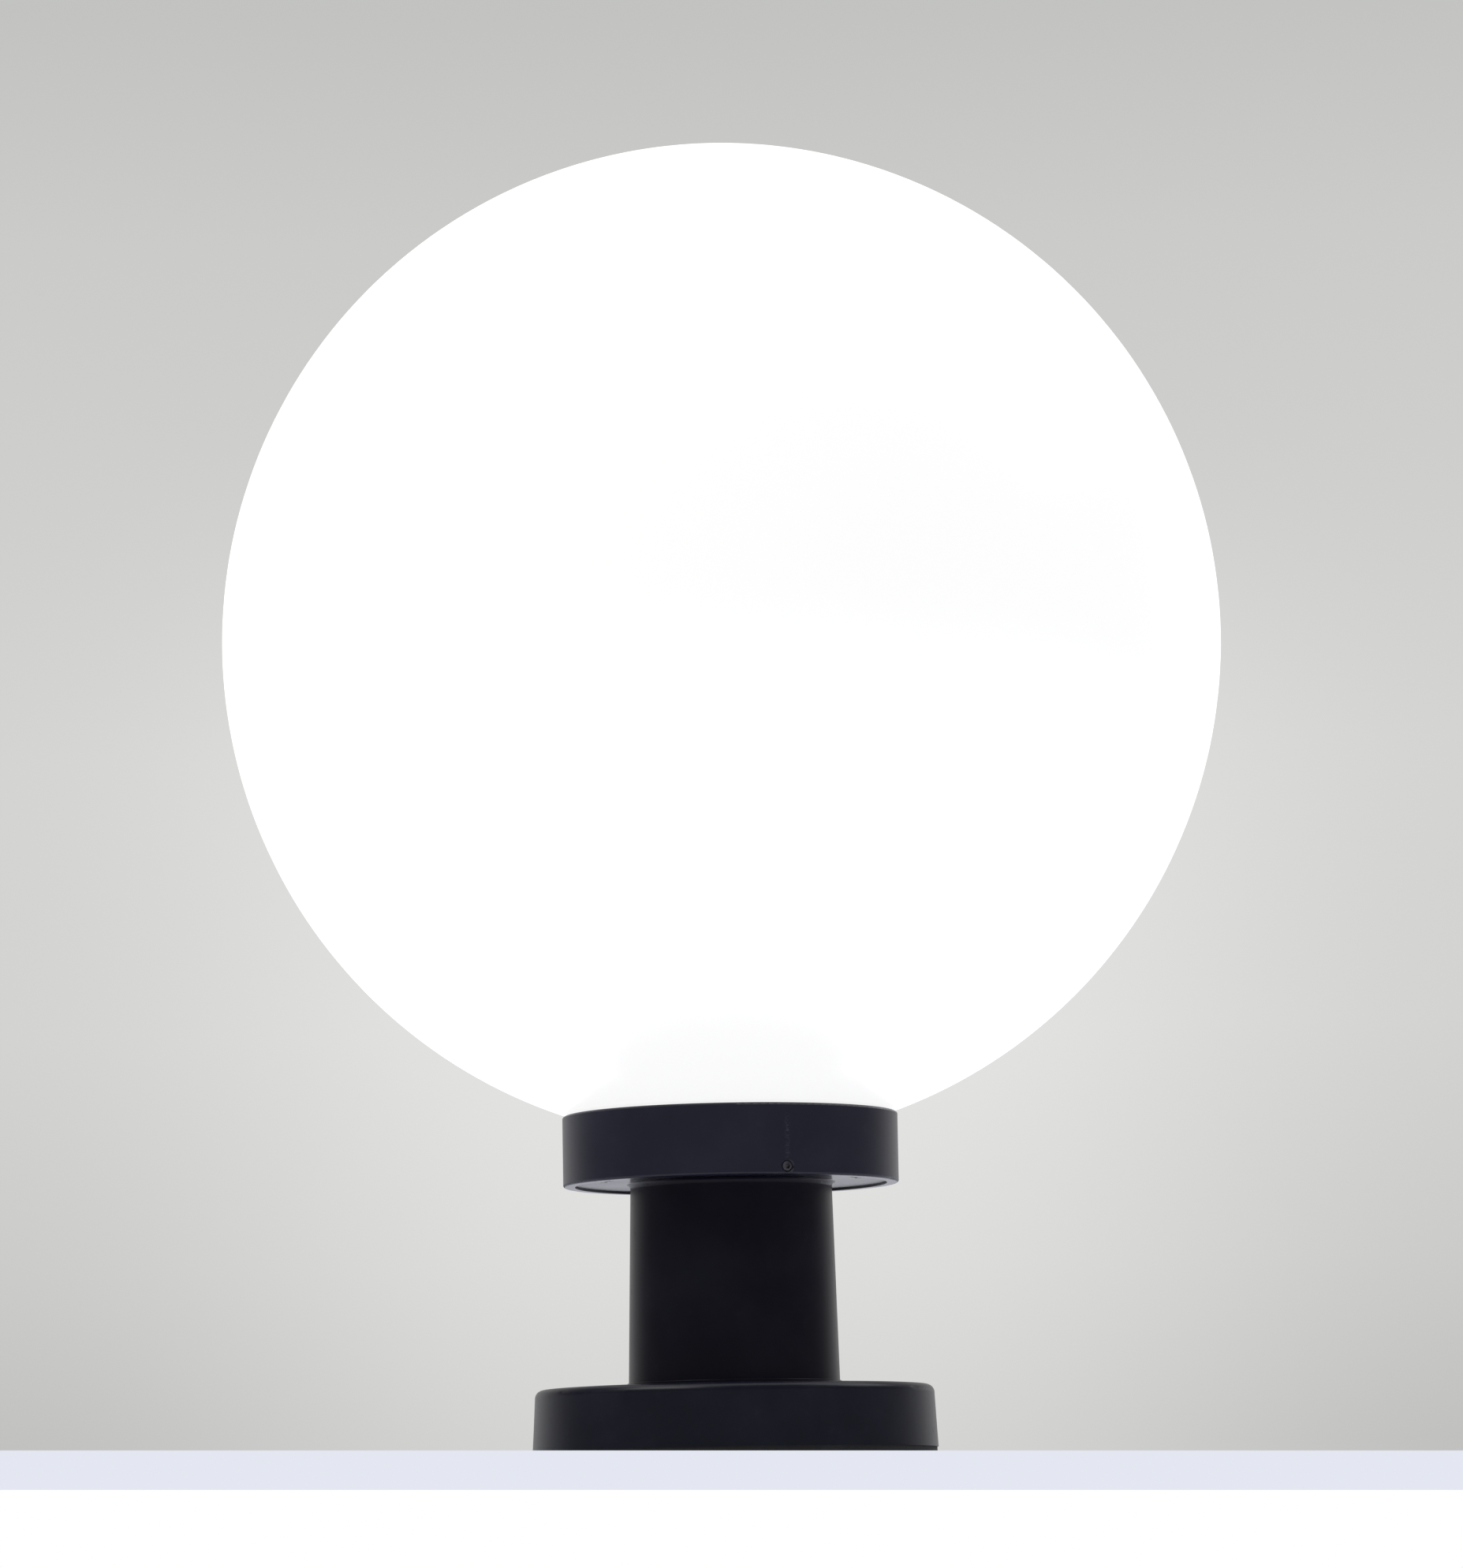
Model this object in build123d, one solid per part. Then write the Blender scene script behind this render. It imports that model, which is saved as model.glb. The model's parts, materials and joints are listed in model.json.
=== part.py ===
"""Garden globe light: an opal globe in a collar, on a short post and a round foot.

Millimetres, +Z up, the front is -Y. The origin is the middle of the underside.
Azimuths are degrees to the right of the front.
"""
from build123d import *
import os
from math import cos, isclose, pi, radians, sin, sqrt, tan

os.makedirs("parts", exist_ok=True)

# ---- clearances ----
thread_gap = 0.05        # radial, between a thread and its hole
seat_gap = 0.3           # between pieces that move or lift apart
wire_gap = 0.25          # round a bare wire in its terminal
fixing_gap = 0.2         # round a screw that passes through a plate
past = 1.0               # a cut reaches this far past a face

# ---- foot ----
base_diameter = 120.5    # at the floor
base_height = 20.0
base_draft = 3.2         # degrees
base_edge_radius = 2.5
base_wall = 3.0
base_top_thickness = 3.2
gasket_thickness = 1.5
gasket_width = 6.0
gasket_inset = 0.45      # the rubber stays inside the foot's edge
base_plate_thickness = 2.5
base_plate_inset = 0.8   # round the closing plate, inside the wall
mount_circle = 90.0
mount_hole = 5.5
mount_sleeve_wall = 2.25
mount_azimuths = (60, 180, 300)
closing_inset = 10.25    # foot's edge to the closing screws
closing_azimuths = (0, 120, 240)
closing_boss = 7.0
closing_screw = 2.5
closing_screw_length = 11.5
closing_head = 5.6
closing_head_height = 1.4
closing_head_rim = 0.2
foot_rib_thickness = 2.0
foot_rib_rise = 2.0      # above the closing plate
grommet_offset = 30.0    # behind the middle
grommet_bore = 6.6
grommet_neck = 12.7
grommet_flange = 16.4
grommet_flange_thickness = 1.2

# ---- post ----
post_height = 60.6       # foot to the underside of the head
post_top_diameter = 60.0
post_foot_diameter = 62.8
post_wall = 3.0
post_bead = 0.45         # the bead round the foot of the post stands out this far
post_bead_height = 1.6
post_bead_round = 0.3
post_fillet = 1.5
post_rib_depth = 4.0
post_rib_thickness = 2.0
post_ribs = 4
post_rib_rise = 2.0      # above the spigot
head_thickness = 3.4
spigot_height = 2.5      # ring on the foot that centres the post
spigot_wall = 2.0
spigot_gap = 0.15

# ---- collar ----
collar_diameter = 100.0
collar_height = 21.0
collar_overhang = 0.6    # below the underside of the head
collar_wall = 2.2
skirt_wall = 3.5
collar_edge_radius = 0.7
ledge_height = 8.5       # lower edge of the collar to the underside of the ledge
ledge_thickness = 2.5
ledge_bore = 74.0
neck_ring_wall = 2.0
neck_ring_height = 6.0
collar_ribs = 12
collar_rib_thickness = 1.6
lock_azimuths = {"front": 19.5, "right": 139.5, "left": 259.5}
lock_height = 2.4        # lower edge of the collar to the screw's axis
lock_screw = 3.0
lock_socket = 1.5        # across flats
lock_socket_depth = 1.3
lock_recess = 0.3        # the screw's outer end lies below the surface
lock_tip_gap = 0.05
lock_chamfer = 0.25
lock_countersink = 0.5   # depth and width of the hole's mouth

# ---- globe ----
globe_diameter = 300.0
globe_wall = 2.5
globe_sink = 7.7         # the sphere dips this far below the collar's rim
neck_diameter = 84.0
seal_floor = 1.2         # under the neck
seal_side = 1.2          # round the neck
seal_height = 5.0

# ---- holder plate and its screws ----
plate_thickness = 1.2
plate_edge = 0.4         # the plate's edge lies inside the head's
plate_screw = 2.9
plate_screw_inset = 3.2  # head's edge to the screw circle
plate_screw_azimuths = (60, 180, 300)
plate_screw_end = 0.4    # beyond the nut
pan_head = 5.0
pan_head_height = 1.9
pan_head_proud = 0.5
pan_bevel = 0.9
cross_width = 0.9
cross_length = 2.8
cross_depth = 1.0
plate_nut = 5.5          # across flats
plate_nut_height = 2.0
sponge_gap = 0.2         # inside the nuts
sponge_width = 2.6

# ---- threaded tube ----
tube_diameter = 9.9
tube_bore = 7.5
tube_nut = 14.0          # across flats
tube_nut_height = 3.6
tube_end = 0.5           # below the lower nut
tube_washer = 28.0
tube_washer_thickness = 1.6
tube_grip = 6.2          # into the lamp holder

# ---- lamp holder, for a 27 mm lamp cap ----
holder_diameter = 39.0
holder_wall = 2.0
holder_boss = 15.2
holder_boss_height = 5.0
holder_floor = 1.8
holder_dome_height = 6.0
holder_depth = 25.2      # under the insert's flange
insert_flange = 3.0
insert_plug = 4.0
insert_plug_gap = 0.3
sleeve_gap = 0.1
sleeve_wall = 1.8
sleeve_overlap = 7.0
sleeve_collar = 2.0      # the sleeve's ring over the insert
sleeve_top_outer = 36.0
sleeve_top_bore = 31.2
sleeve_top_height = 31.0
sleeve_slope = 3.0
shell_wall = 0.5
shell_height = 26.0
cap_gap = 0.35           # round the lamp's cap
contact_strip = (14.0, 6.0, 0.6)
contact_button = 6.0
contact_button_height = 2.8
terminal_offset = 8.5
terminal_diameter = 5.2
terminal_height = 5.0
terminal_screw = 2.0
terminal_screw_length = 4.0

# ---- LED lamp ----
lamp_length = 108.0
lamp_diameter = 60.0
lamp_cap_diameter = 26.0
lamp_cap_length = 21.0
lamp_cap_wall = 0.4
lamp_contact_diameter = 9.0
lamp_contact_height = 1.0
lamp_insulator_height = 3.3
lamp_insulator_top = 24.0
lamp_insulator_base = 11.0
lamp_throat = 28.8
lamp_throat_height = 4.5
lamp_waist_swell = 2.6   # wider than the throat
lamp_waist_height = 13.2
lamp_housing_height = 31.5
lamp_housing_wall = 1.8
lamp_dome_foot = 57.0
lamp_dome_lean = (0.16, 1.0)  # direction in which the dome leaves the housing
lamp_dome_wall = 1.2
led_board_diameter = 48.0
led_board_thickness = 1.2
led_board_seat = 2.0     # below the housing's rim
led_chips = 12
led_chip_circle = 32.0
led_chip = (2.8, 3.5, 0.7)
driver_board_thickness = 1.2
driver_board_height = 28.0
driver_gap = 0.2         # each side of the board, in the housing's foot
driver_board_rise = 8.0  # above the lower end of the cap
capacitor_diameter = 7.0
capacitor_height = 12.0

# ---- terminal block and leads ----
block = (20.0, 18.0, 10.0)
block_round = 1.0
block_offset = 30.0      # to the left of the middle
pole_spacing = 9.0
insert_tube = 5.1
insert_bore = 2.5
insert_length = 18.0
pole_screw = 2.5
pole_screw_height = 3.4
pole_screw_spacing = 11.0
pole_access = 3.6
pole_slot_width = 0.6
pole_slot_depth = 0.6
block_screw = 2.6
block_screw_head = 4.8
block_screw_head_height = 1.5
lead_diameter = 2.0
lead_bend = 6.0
lead_sweep = 25.0
lead_slack_bend = 400.0  # the slight bow inside the tube
lead_bow = 0.5
lead_spread = 1.4        # off the tube's axis
lead_lead_in = 3.0       # into the terminal


# ---- heights ----
plate_top = gasket_thickness + base_plate_thickness
base_ceiling = base_height - base_top_thickness
head_z = base_height + post_height
head_top = head_z + head_thickness
holder_plate_top = head_top + plate_thickness
collar_z = head_z - collar_overhang
collar_top = collar_z + collar_height
ledge_z = collar_z + ledge_height
ledge_top = ledge_z + ledge_thickness
neck_z = ledge_top + seal_floor
globe_z = collar_top + globe_diameter / 2 - globe_sink
lower_nut_z = base_ceiling - tube_washer_thickness - tube_nut_height
tube_z = lower_nut_z - tube_end
holder_z = holder_plate_top + tube_nut_height
tube_top = holder_z + tube_grip
insert_z = holder_z + holder_depth
insert_top = insert_z + insert_flange
lamp_z = insert_top + contact_strip[2] + contact_button_height + seat_gap
cap_z = lamp_z + lamp_contact_height + lamp_insulator_height
cap_top = cap_z + lamp_cap_length
housing_top = cap_top + lamp_housing_height
lamp_top = lamp_z + lamp_length
block_z = plate_top
pole_z = block_z + block[2] / 2

# ---- radii ----
collar_r = collar_diameter / 2
skirt_r = collar_r - skirt_wall
head_r = skirt_r - seat_gap
plate_screw_r = head_r - plate_screw_inset
neck_r = neck_diameter / 2
neck_bore_r = neck_r - globe_wall
neck_ring_r = neck_r + seal_side
mount_r = mount_circle / 2
closing_r = base_diameter / 2 - closing_inset
post_slope = (post_foot_diameter - post_top_diameter) / 2 / post_height
post_foot_bore = post_foot_diameter / 2 - post_wall


def base_radius(z):
    """Outside radius of the drafted foot at a height."""
    return base_diameter / 2 - z * tan(radians(base_draft))


def around(radius, azimuth, z=0.0):
    """Point at a radius and an azimuth."""
    return (radius * sin(radians(azimuth)), -radius * cos(radians(azimuth)), z)


def turned(*outline):
    """Solid turned about the Z axis from (radius, height) points."""
    return revolve(make_face(Plane.XZ * Polyline(*outline, close=True)), Axis.Z)


def ring(outer, inner, bottom, top):
    """Plain ring between two heights."""
    return turned((inner, bottom), (outer, bottom), (outer, top), (inner, top))


def rod(radius, bottom, top):
    """Plain upright cylinder."""
    return Pos(0, 0, bottom) * Cylinder(radius, top - bottom, align=(Align.CENTER, Align.CENTER, Align.MIN))


def brick(length, width, height):
    """Box that stands on the origin."""
    return Box(length, width, height, align=(Align.CENTER, Align.CENTER, Align.MIN))


def hex_nut(across_flats, bore, bottom, height):
    """Hexagon nut with its lower corners and bore plain."""
    blank = extrude(RegularPolygon(across_flats / 2, 6, major_radius=False), height)
    corner_r = across_flats / 2 / cos(pi / 6)
    crown = turned((0, 0), (corner_r, 0), (corner_r, height - 0.25 * (corner_r - across_flats / 2)),
                   (across_flats / 2, height), (0, height))
    return Pos(0, 0, bottom) * ((blank & crown) - rod(bore / 2, -past, height + past))


def pan_screw(shank, length, head, head_height):
    """Pan-head screw with a cross recess; its shank points up from the head's flat side at z = 0."""
    profile = turned(
        (0, -head_height), (head / 2 - pan_bevel, -head_height), (head / 2, -head_height + pan_bevel),
        (head / 2, 0), (shank / 2, 0), (shank / 2, length), (0, length))
    cross = Box(cross_length, cross_width, cross_depth) + Box(cross_width, cross_length, cross_depth)
    return profile - Pos(0, 0, -head_height + cross_depth / 2) * cross


def at_azimuths(solid, radius, azimuths):
    """Copies of a solid on a circle, each turned to face outwards."""
    return [Pos(*around(radius, azimuth)) * Rot(0, 0, azimuth) * solid for azimuth in azimuths]


def rims(solid, radius, height):
    """Circular edges of one radius at one height."""
    circles = solid.edges().filter_by(GeomType.CIRCLE)
    return circles.filter_by(lambda edge: isclose(edge.radius, radius, abs_tol=0.01)
                             and isclose(edge.arc_center.Z, height, abs_tol=0.01))


def save(name, *solids):
    """Writes one node; loose solids in a node stay separate."""
    shape = solids[0] if len(solids) == 1 else Compound(children=list(solids))
    export_step(shape, f"parts/{name}.step")


# ---- foot ----
def make_base_cover():
    wall_foot = gasket_thickness
    shell = turned(
        (tube_diameter / 2 + fixing_gap, base_ceiling),
        (base_radius(base_ceiling) - base_wall, base_ceiling),
        (base_radius(wall_foot) - base_wall, wall_foot),
        (base_radius(wall_foot), wall_foot),
        (base_radius(base_height), base_height),
        (tube_diameter / 2 + fixing_gap, base_height))
    shell = fillet(rims(shell, base_radius(base_height), base_height), base_edge_radius)
    spigot_r = post_foot_bore - spigot_gap
    shell += ring(spigot_r, spigot_r - spigot_wall, base_height, base_height + spigot_height)
    sleeve_r = mount_hole / 2 + mount_sleeve_wall
    for place_r, radius, azimuths in ((mount_r, sleeve_r, mount_azimuths),
                                      (closing_r, closing_boss / 2, closing_azimuths)):
        rib_length = base_radius(base_ceiling) - base_wall / 2 - place_r
        rib_z = plate_top + foot_rib_rise
        rib = Pos(0, -rib_length / 2, rib_z) * brick(foot_rib_thickness, rib_length, base_ceiling - rib_z)
        for stem in at_azimuths(rod(radius, plate_top, base_ceiling) + rib, place_r, azimuths):
            shell += stem
    for hole in at_azimuths(rod(mount_hole / 2, 0, base_height + past), mount_r, mount_azimuths):
        shell -= hole
    pilot = rod(closing_screw / 2 + thread_gap, 0, gasket_thickness + closing_screw_length + past)
    for hole in at_azimuths(pilot, closing_r, closing_azimuths):
        shell -= hole
    return shell


def make_base_plate():
    plate_r = base_radius(plate_top) - base_wall - base_plate_inset
    plate = rod(plate_r, gasket_thickness, plate_top)
    for hole in at_azimuths(rod(mount_hole / 2, 0, plate_top + past), mount_r, mount_azimuths):
        plate -= hole
    for hole in at_azimuths(closing_screw_solid(fixing_gap), closing_r, closing_azimuths):
        plate -= hole
    plate -= Pos(0, grommet_offset, 0) * rod(grommet_neck / 2 + thread_gap, 0, plate_top + past)
    plate -= Pos(-block_offset, 0, 0) * rod(block_screw / 2 + thread_gap, 0, plate_top + past)
    return plate


def closing_screw_solid(gap=0.0):
    """Countersunk screw from below, or with a gap the hole that it needs."""
    head_edge = closing_head / 2 + gap
    shank_r = closing_screw / 2 + gap
    low = gasket_thickness
    tip = low + closing_screw_length
    return turned((0, low), (head_edge, low), (head_edge, low + gap + closing_head_rim),
                  (shank_r, low + closing_head_height + gap), (shank_r, tip), (0, tip))


def make_grommet():
    low = gasket_thickness - grommet_flange_thickness
    high = plate_top + grommet_flange_thickness
    outline = turned(
        (grommet_bore / 2, low), (grommet_flange / 2, low), (grommet_flange / 2, gasket_thickness),
        (grommet_neck / 2, gasket_thickness), (grommet_neck / 2, plate_top), (grommet_flange / 2, plate_top),
        (grommet_flange / 2, high), (grommet_bore / 2, high))
    return Pos(0, grommet_offset, 0) * outline


save("base_cover", make_base_cover())
save("base_plate", make_base_plate())
save("base_plate_screws", *at_azimuths(closing_screw_solid(), closing_r, closing_azimuths))
gasket_r = base_radius(0) - gasket_inset
save("base_gasket", ring(gasket_r, gasket_r - gasket_width, 0, gasket_thickness))
save("cable_grommet", make_grommet())


# ---- post ----
def make_post():
    foot_r = post_foot_diameter / 2
    top_r = post_top_diameter / 2
    bead_r = foot_r + post_bead
    bore_top = post_foot_bore - post_slope * (head_top - base_height)
    post = turned(
        (post_foot_bore, base_height), (bead_r, base_height), (bead_r, base_height + post_bead_height),
        (foot_r - post_slope * post_bead_height, base_height + post_bead_height), (top_r, head_z),
        (head_r, head_z), (head_r, head_top), (bore_top, head_top))
    post = fillet(rims(post, top_r, head_z), post_fillet)
    post = fillet(rims(post, bead_r, base_height + post_bead_height), post_bead_round)
    rib_foot = base_height + spigot_height + post_rib_rise
    rib = Pos(0, -post_rib_depth / 2 - (bore_top - post_rib_depth), rib_foot) * brick(
        post_rib_thickness, post_rib_depth + post_wall, head_z - rib_foot)
    for number in range(post_ribs):
        post += Rot(0, 0, 360 / post_ribs * (number + 0.5)) * rib
    sink = pan_head_height - pan_head_proud
    screw_hole = rod(plate_screw / 2 + fixing_gap, head_z - past, head_top + past)
    screw_hole += rod(pan_head / 2 + fixing_gap, head_z - past, head_z + sink)
    for hole in at_azimuths(screw_hole, plate_screw_r, plate_screw_azimuths):
        post -= hole
    return post


def make_holder_plate():
    plate = ring(head_r - plate_edge, tube_diameter / 2 + fixing_gap, head_top, holder_plate_top)
    screw_hole = rod(plate_screw / 2 + fixing_gap, head_top - past, holder_plate_top + past)
    for hole in at_azimuths(screw_hole, plate_screw_r, plate_screw_azimuths):
        plate -= hole
    return plate


save("post", make_post())
save("holder_plate", make_holder_plate())
screw_seat = head_z + pan_head_height - pan_head_proud
nut_top = holder_plate_top + plate_nut_height
plate_screw_solid = Pos(0, 0, screw_seat) * pan_screw(
    plate_screw, nut_top + plate_screw_end - screw_seat, pan_head, pan_head_height)
save("plate_screws", *at_azimuths(plate_screw_solid, plate_screw_r, plate_screw_azimuths))
plate_nut_solid = hex_nut(plate_nut, plate_screw + 2 * thread_gap, holder_plate_top, plate_nut_height)
save("plate_nuts", *at_azimuths(plate_nut_solid, plate_screw_r, plate_screw_azimuths))
sponge_r = plate_screw_r - plate_nut / 2 / cos(pi / 6) - sponge_gap
save("collar_gasket", ring(sponge_r, sponge_r - sponge_width, holder_plate_top, ledge_z - seat_gap))

tube_r = tube_diameter / 2
nut_bore = tube_diameter + 2 * thread_gap
save("threaded_tube", ring(tube_r, tube_bore / 2, tube_z, tube_top))
washer_z = base_ceiling - tube_washer_thickness
save("lower_washer", ring(tube_washer / 2, tube_r + fixing_gap, washer_z, base_ceiling))
save("lower_nut", hex_nut(tube_nut, nut_bore, lower_nut_z, tube_nut_height))
save("upper_nut", hex_nut(tube_nut, nut_bore, holder_plate_top, tube_nut_height))


# ---- collar, lock screws and globe ----
def radial_rod(radius, inner, outer):
    """Rod along the front azimuth, between two distances from the axis."""
    return Rot(90, 0, 0) * rod(radius, inner, outer)


def make_collar():
    wall_r = collar_r - collar_wall
    ring_outer = neck_ring_r + neck_ring_wall
    ring_top = ledge_top + neck_ring_height
    collar = turned(
        (skirt_r, collar_z), (collar_r, collar_z), (collar_r, collar_top), (wall_r, collar_top),
        (wall_r, ledge_top), (ring_outer, ledge_top), (ring_outer, ring_top), (neck_ring_r, ring_top),
        (neck_ring_r, ledge_top), (ledge_bore / 2, ledge_top), (ledge_bore / 2, ledge_z), (skirt_r, ledge_z))
    collar = fillet(rims(collar, collar_r, collar_top) + rims(collar, collar_r, collar_z), collar_edge_radius)
    rib_length = collar_r - collar_wall / 2 - ring_outer + neck_ring_wall / 2
    rib = Pos(0, -ring_outer + neck_ring_wall / 2 - rib_length / 2, ledge_top) * brick(
        collar_rib_thickness, rib_length, neck_ring_height)
    for number in range(collar_ribs):
        collar += Rot(0, 0, 360 / collar_ribs * number) * rib
    thread_r = lock_screw / 2 + thread_gap
    hole = radial_rod(thread_r, skirt_r - past, collar_r + past)
    hole += Rot(90, 0, 0) * Pos(0, 0, collar_r) * Cone(
        thread_r, thread_r + 2 * lock_countersink, 2 * lock_countersink)
    for azimuth in lock_azimuths.values():
        collar -= Rot(0, 0, azimuth) * Pos(0, 0, collar_z + lock_height) * hole
    return collar


def make_lock_screw(azimuth):
    tip = head_r + lock_tip_gap
    end = collar_r - lock_recess
    screw = radial_rod(lock_screw / 2, tip, end)
    screw = chamfer(screw.edges().filter_by(GeomType.CIRCLE), lock_chamfer)
    socket = Pos(0, 0, end - lock_socket_depth) * extrude(
        RegularPolygon(lock_socket / 2, 6, major_radius=False), lock_socket_depth + past)
    screw -= Rot(90, 0, 0) * socket
    return Rot(0, 0, azimuth) * Pos(0, 0, collar_z + lock_height) * screw


def make_globe():
    outer_r = globe_diameter / 2
    inner_r = outer_r - globe_wall
    neck_top = globe_z - sqrt(outer_r**2 - neck_r**2) + globe_wall / 5  # inside the sphere's wall
    globe = Pos(0, 0, globe_z) * (Sphere(outer_r) - Sphere(inner_r))
    globe += ring(neck_r, neck_bore_r, neck_z, neck_top)
    return globe - rod(neck_bore_r, neck_z - past, globe_z)


def make_neck_seal():
    outer_r = neck_ring_r - thread_gap
    side_r = neck_r + thread_gap
    top = ledge_top + seal_height
    return turned((neck_bore_r, ledge_top), (outer_r, ledge_top), (outer_r, top),
                  (side_r, top), (side_r, neck_z), (neck_bore_r, neck_z))


save("collar", make_collar())
for side, azimuth in lock_azimuths.items():
    save(f"lock_screw_{side}", make_lock_screw(azimuth))
save("globe", make_globe())
save("neck_seal", make_neck_seal())


# ---- lamp holder ----
holder_r = holder_diameter / 2
insert_plug_r = holder_r - holder_wall - insert_plug_gap
shell_r = lamp_cap_diameter / 2 + cap_gap


def make_holder_base():
    boss_top = holder_z + holder_boss_height
    dome_top = boss_top + holder_dome_height
    floor_top = boss_top + holder_floor
    inner_r = holder_r - holder_wall
    return turned(
        (tube_r + thread_gap, holder_z), (holder_boss / 2, holder_z), (holder_boss / 2, boss_top),
        (holder_r, dome_top), (holder_r, insert_z), (inner_r, insert_z),
        (inner_r, dome_top + holder_floor / 2), (holder_boss / 2, floor_top),
        (tube_r + thread_gap, floor_top))


def make_holder_insert():
    plug_z = insert_z - insert_plug
    return turned((0, plug_z), (insert_plug_r, plug_z), (insert_plug_r, insert_z), (holder_r, insert_z),
                  (holder_r, insert_top), (0, insert_top))


def make_holder_sleeve():
    bore_r = holder_r + sleeve_gap
    outer_r = bore_r + sleeve_wall
    shoulder = insert_top + sleeve_collar
    top = insert_top + sleeve_top_height
    return turned(
        (bore_r, insert_z - sleeve_overlap), (outer_r, insert_z - sleeve_overlap), (outer_r, shoulder),
        (sleeve_top_outer / 2, shoulder + sleeve_slope), (sleeve_top_outer / 2, top),
        (sleeve_top_bore / 2, top),
        (sleeve_top_bore / 2, insert_top), (bore_r, insert_top))


def make_holder_contact():
    button_z = insert_top + contact_strip[2]
    strip = Pos(0, 0, insert_top) * brick(*contact_strip)
    return strip + rod(contact_button / 2, button_z, button_z + contact_button_height)


terminal_z = insert_z - insert_plug - terminal_height
terminals = []
holder_screws = []
for side in (1, -1):
    terminal = ring(terminal_diameter / 2, lead_diameter / 2 + wire_gap,
                    terminal_z, terminal_z + terminal_height)
    screw_z = terminal_z + terminal_height / 2
    clamp_hole = Rot(-90 * side, 0, 0) * rod(terminal_screw / 2 + thread_gap, 0, terminal_diameter)
    clamp_screw = Rot(-90 * side, 0, 0) * rod(
        terminal_screw / 2, lead_diameter / 2 + thread_gap, lead_diameter / 2 + terminal_screw_length)
    terminals.append(Pos(0, side * terminal_offset, 0) * (terminal - Pos(0, 0, screw_z) * clamp_hole))
    holder_screws.append(Pos(0, side * terminal_offset, screw_z) * clamp_screw)

save("holder_base", make_holder_base())
save("holder_insert", make_holder_insert())
save("holder_sleeve", make_holder_sleeve())
save("holder_shell", ring(shell_r + shell_wall, shell_r, insert_top, insert_top + shell_height))
save("holder_contact", make_holder_contact())
save("holder_terminals", *terminals)
save("holder_screws", *holder_screws)


# ---- LED lamp ----
dome_foot_r = lamp_dome_foot / 2
throat_r = lamp_throat / 2
cap_r = lamp_cap_diameter / 2


def lamp_flare(inset):
    """Outline of the housing's flare, moved inwards for its inside."""
    neck = (throat_r - inset, cap_top + lamp_throat_height)
    waist = (throat_r + lamp_waist_swell - inset, cap_top + lamp_waist_height)
    rim = (dome_foot_r - inset, housing_top)
    return Spline(neck, waist, rim, tangents=((0, 1), (0.35, 1)))


def make_lamp_housing():
    outside = lamp_flare(0)
    inside = lamp_flare(lamp_housing_wall)
    foot = cap_top - lamp_throat_height
    inner_foot = cap_r - lamp_cap_wall - thread_gap
    outline = Curve() + [
        outside, inside,
        Polyline(outside @ 0, (throat_r, cap_top), (inner_foot, cap_top), (inner_foot, foot),
                 (inner_foot - lamp_housing_wall, foot), (inner_foot - lamp_housing_wall, cap_top),
                 inside @ 0),
        Line(outside @ 1, inside @ 1)]
    housing = revolve(Plane.XZ * make_face(outline), Axis.Z)
    board_r = led_board_diameter / 2
    seat = ring(board_r + lamp_housing_wall, board_r - lamp_housing_wall,
                housing_top - led_board_seat - lamp_housing_wall, housing_top - led_board_seat)
    return housing + seat


def make_lamp_dome():
    outer_r = lamp_diameter / 2
    equator = lamp_top - outer_r
    inner_r = outer_r - lamp_dome_wall

    def side(foot, middle):
        return Spline((foot, housing_top), (middle, equator), tangents=(lamp_dome_lean, (0, 1)))

    outside = side(dome_foot_r, outer_r)
    inside = side(dome_foot_r - lamp_dome_wall, inner_r)
    outer_cap = RadiusArc(outside @ 1, (0, lamp_top), -outer_r)
    inner_cap = RadiusArc(inside @ 1, (0, lamp_top - lamp_dome_wall), -inner_r)
    outline = Curve() + [outside, outer_cap, Line(outer_cap @ 1, inner_cap @ 1), inner_cap, inside,
                         Line(inside @ 0, outside @ 0)]
    return revolve(Plane.XZ * make_face(outline), Axis.Z)


driver_board = (2 * (cap_r - lamp_cap_wall - thread_gap - lamp_housing_wall - driver_gap),
                driver_board_thickness, driver_board_height)
board_z = housing_top - led_board_seat
chip_z = board_z + led_board_thickness
driver_z = cap_z + driver_board_rise
save("bulb_contact", rod(lamp_contact_diameter / 2, lamp_z, lamp_z + lamp_contact_height))
save("bulb_cap_insulator", turned(
    (0, lamp_z + lamp_contact_height), (lamp_insulator_base / 2, lamp_z + lamp_contact_height),
    (lamp_insulator_top / 2, cap_z), (0, cap_z)))
save("bulb_cap", ring(cap_r, cap_r - lamp_cap_wall, cap_z, cap_top))
save("bulb_housing", make_lamp_housing())
save("bulb_dome", make_lamp_dome())
save("led_board", rod(led_board_diameter / 2, board_z, chip_z))
chip = Pos(0, 0, chip_z) * brick(*led_chip)
chip_azimuths = [360 / led_chips * number for number in range(led_chips)]
save("led_chips", *at_azimuths(chip, led_chip_circle / 2, chip_azimuths))
save("driver_board", Pos(0, 0, driver_z) * brick(*driver_board))
capacitor_y = driver_board[1] / 2 + capacitor_diameter / 2
capacitor_z = driver_z + driver_board[2] - capacitor_height
save("driver_capacitor", Pos(0, capacitor_y, 0) * rod(
    capacitor_diameter / 2, capacitor_z, capacitor_z + capacitor_height))


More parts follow.
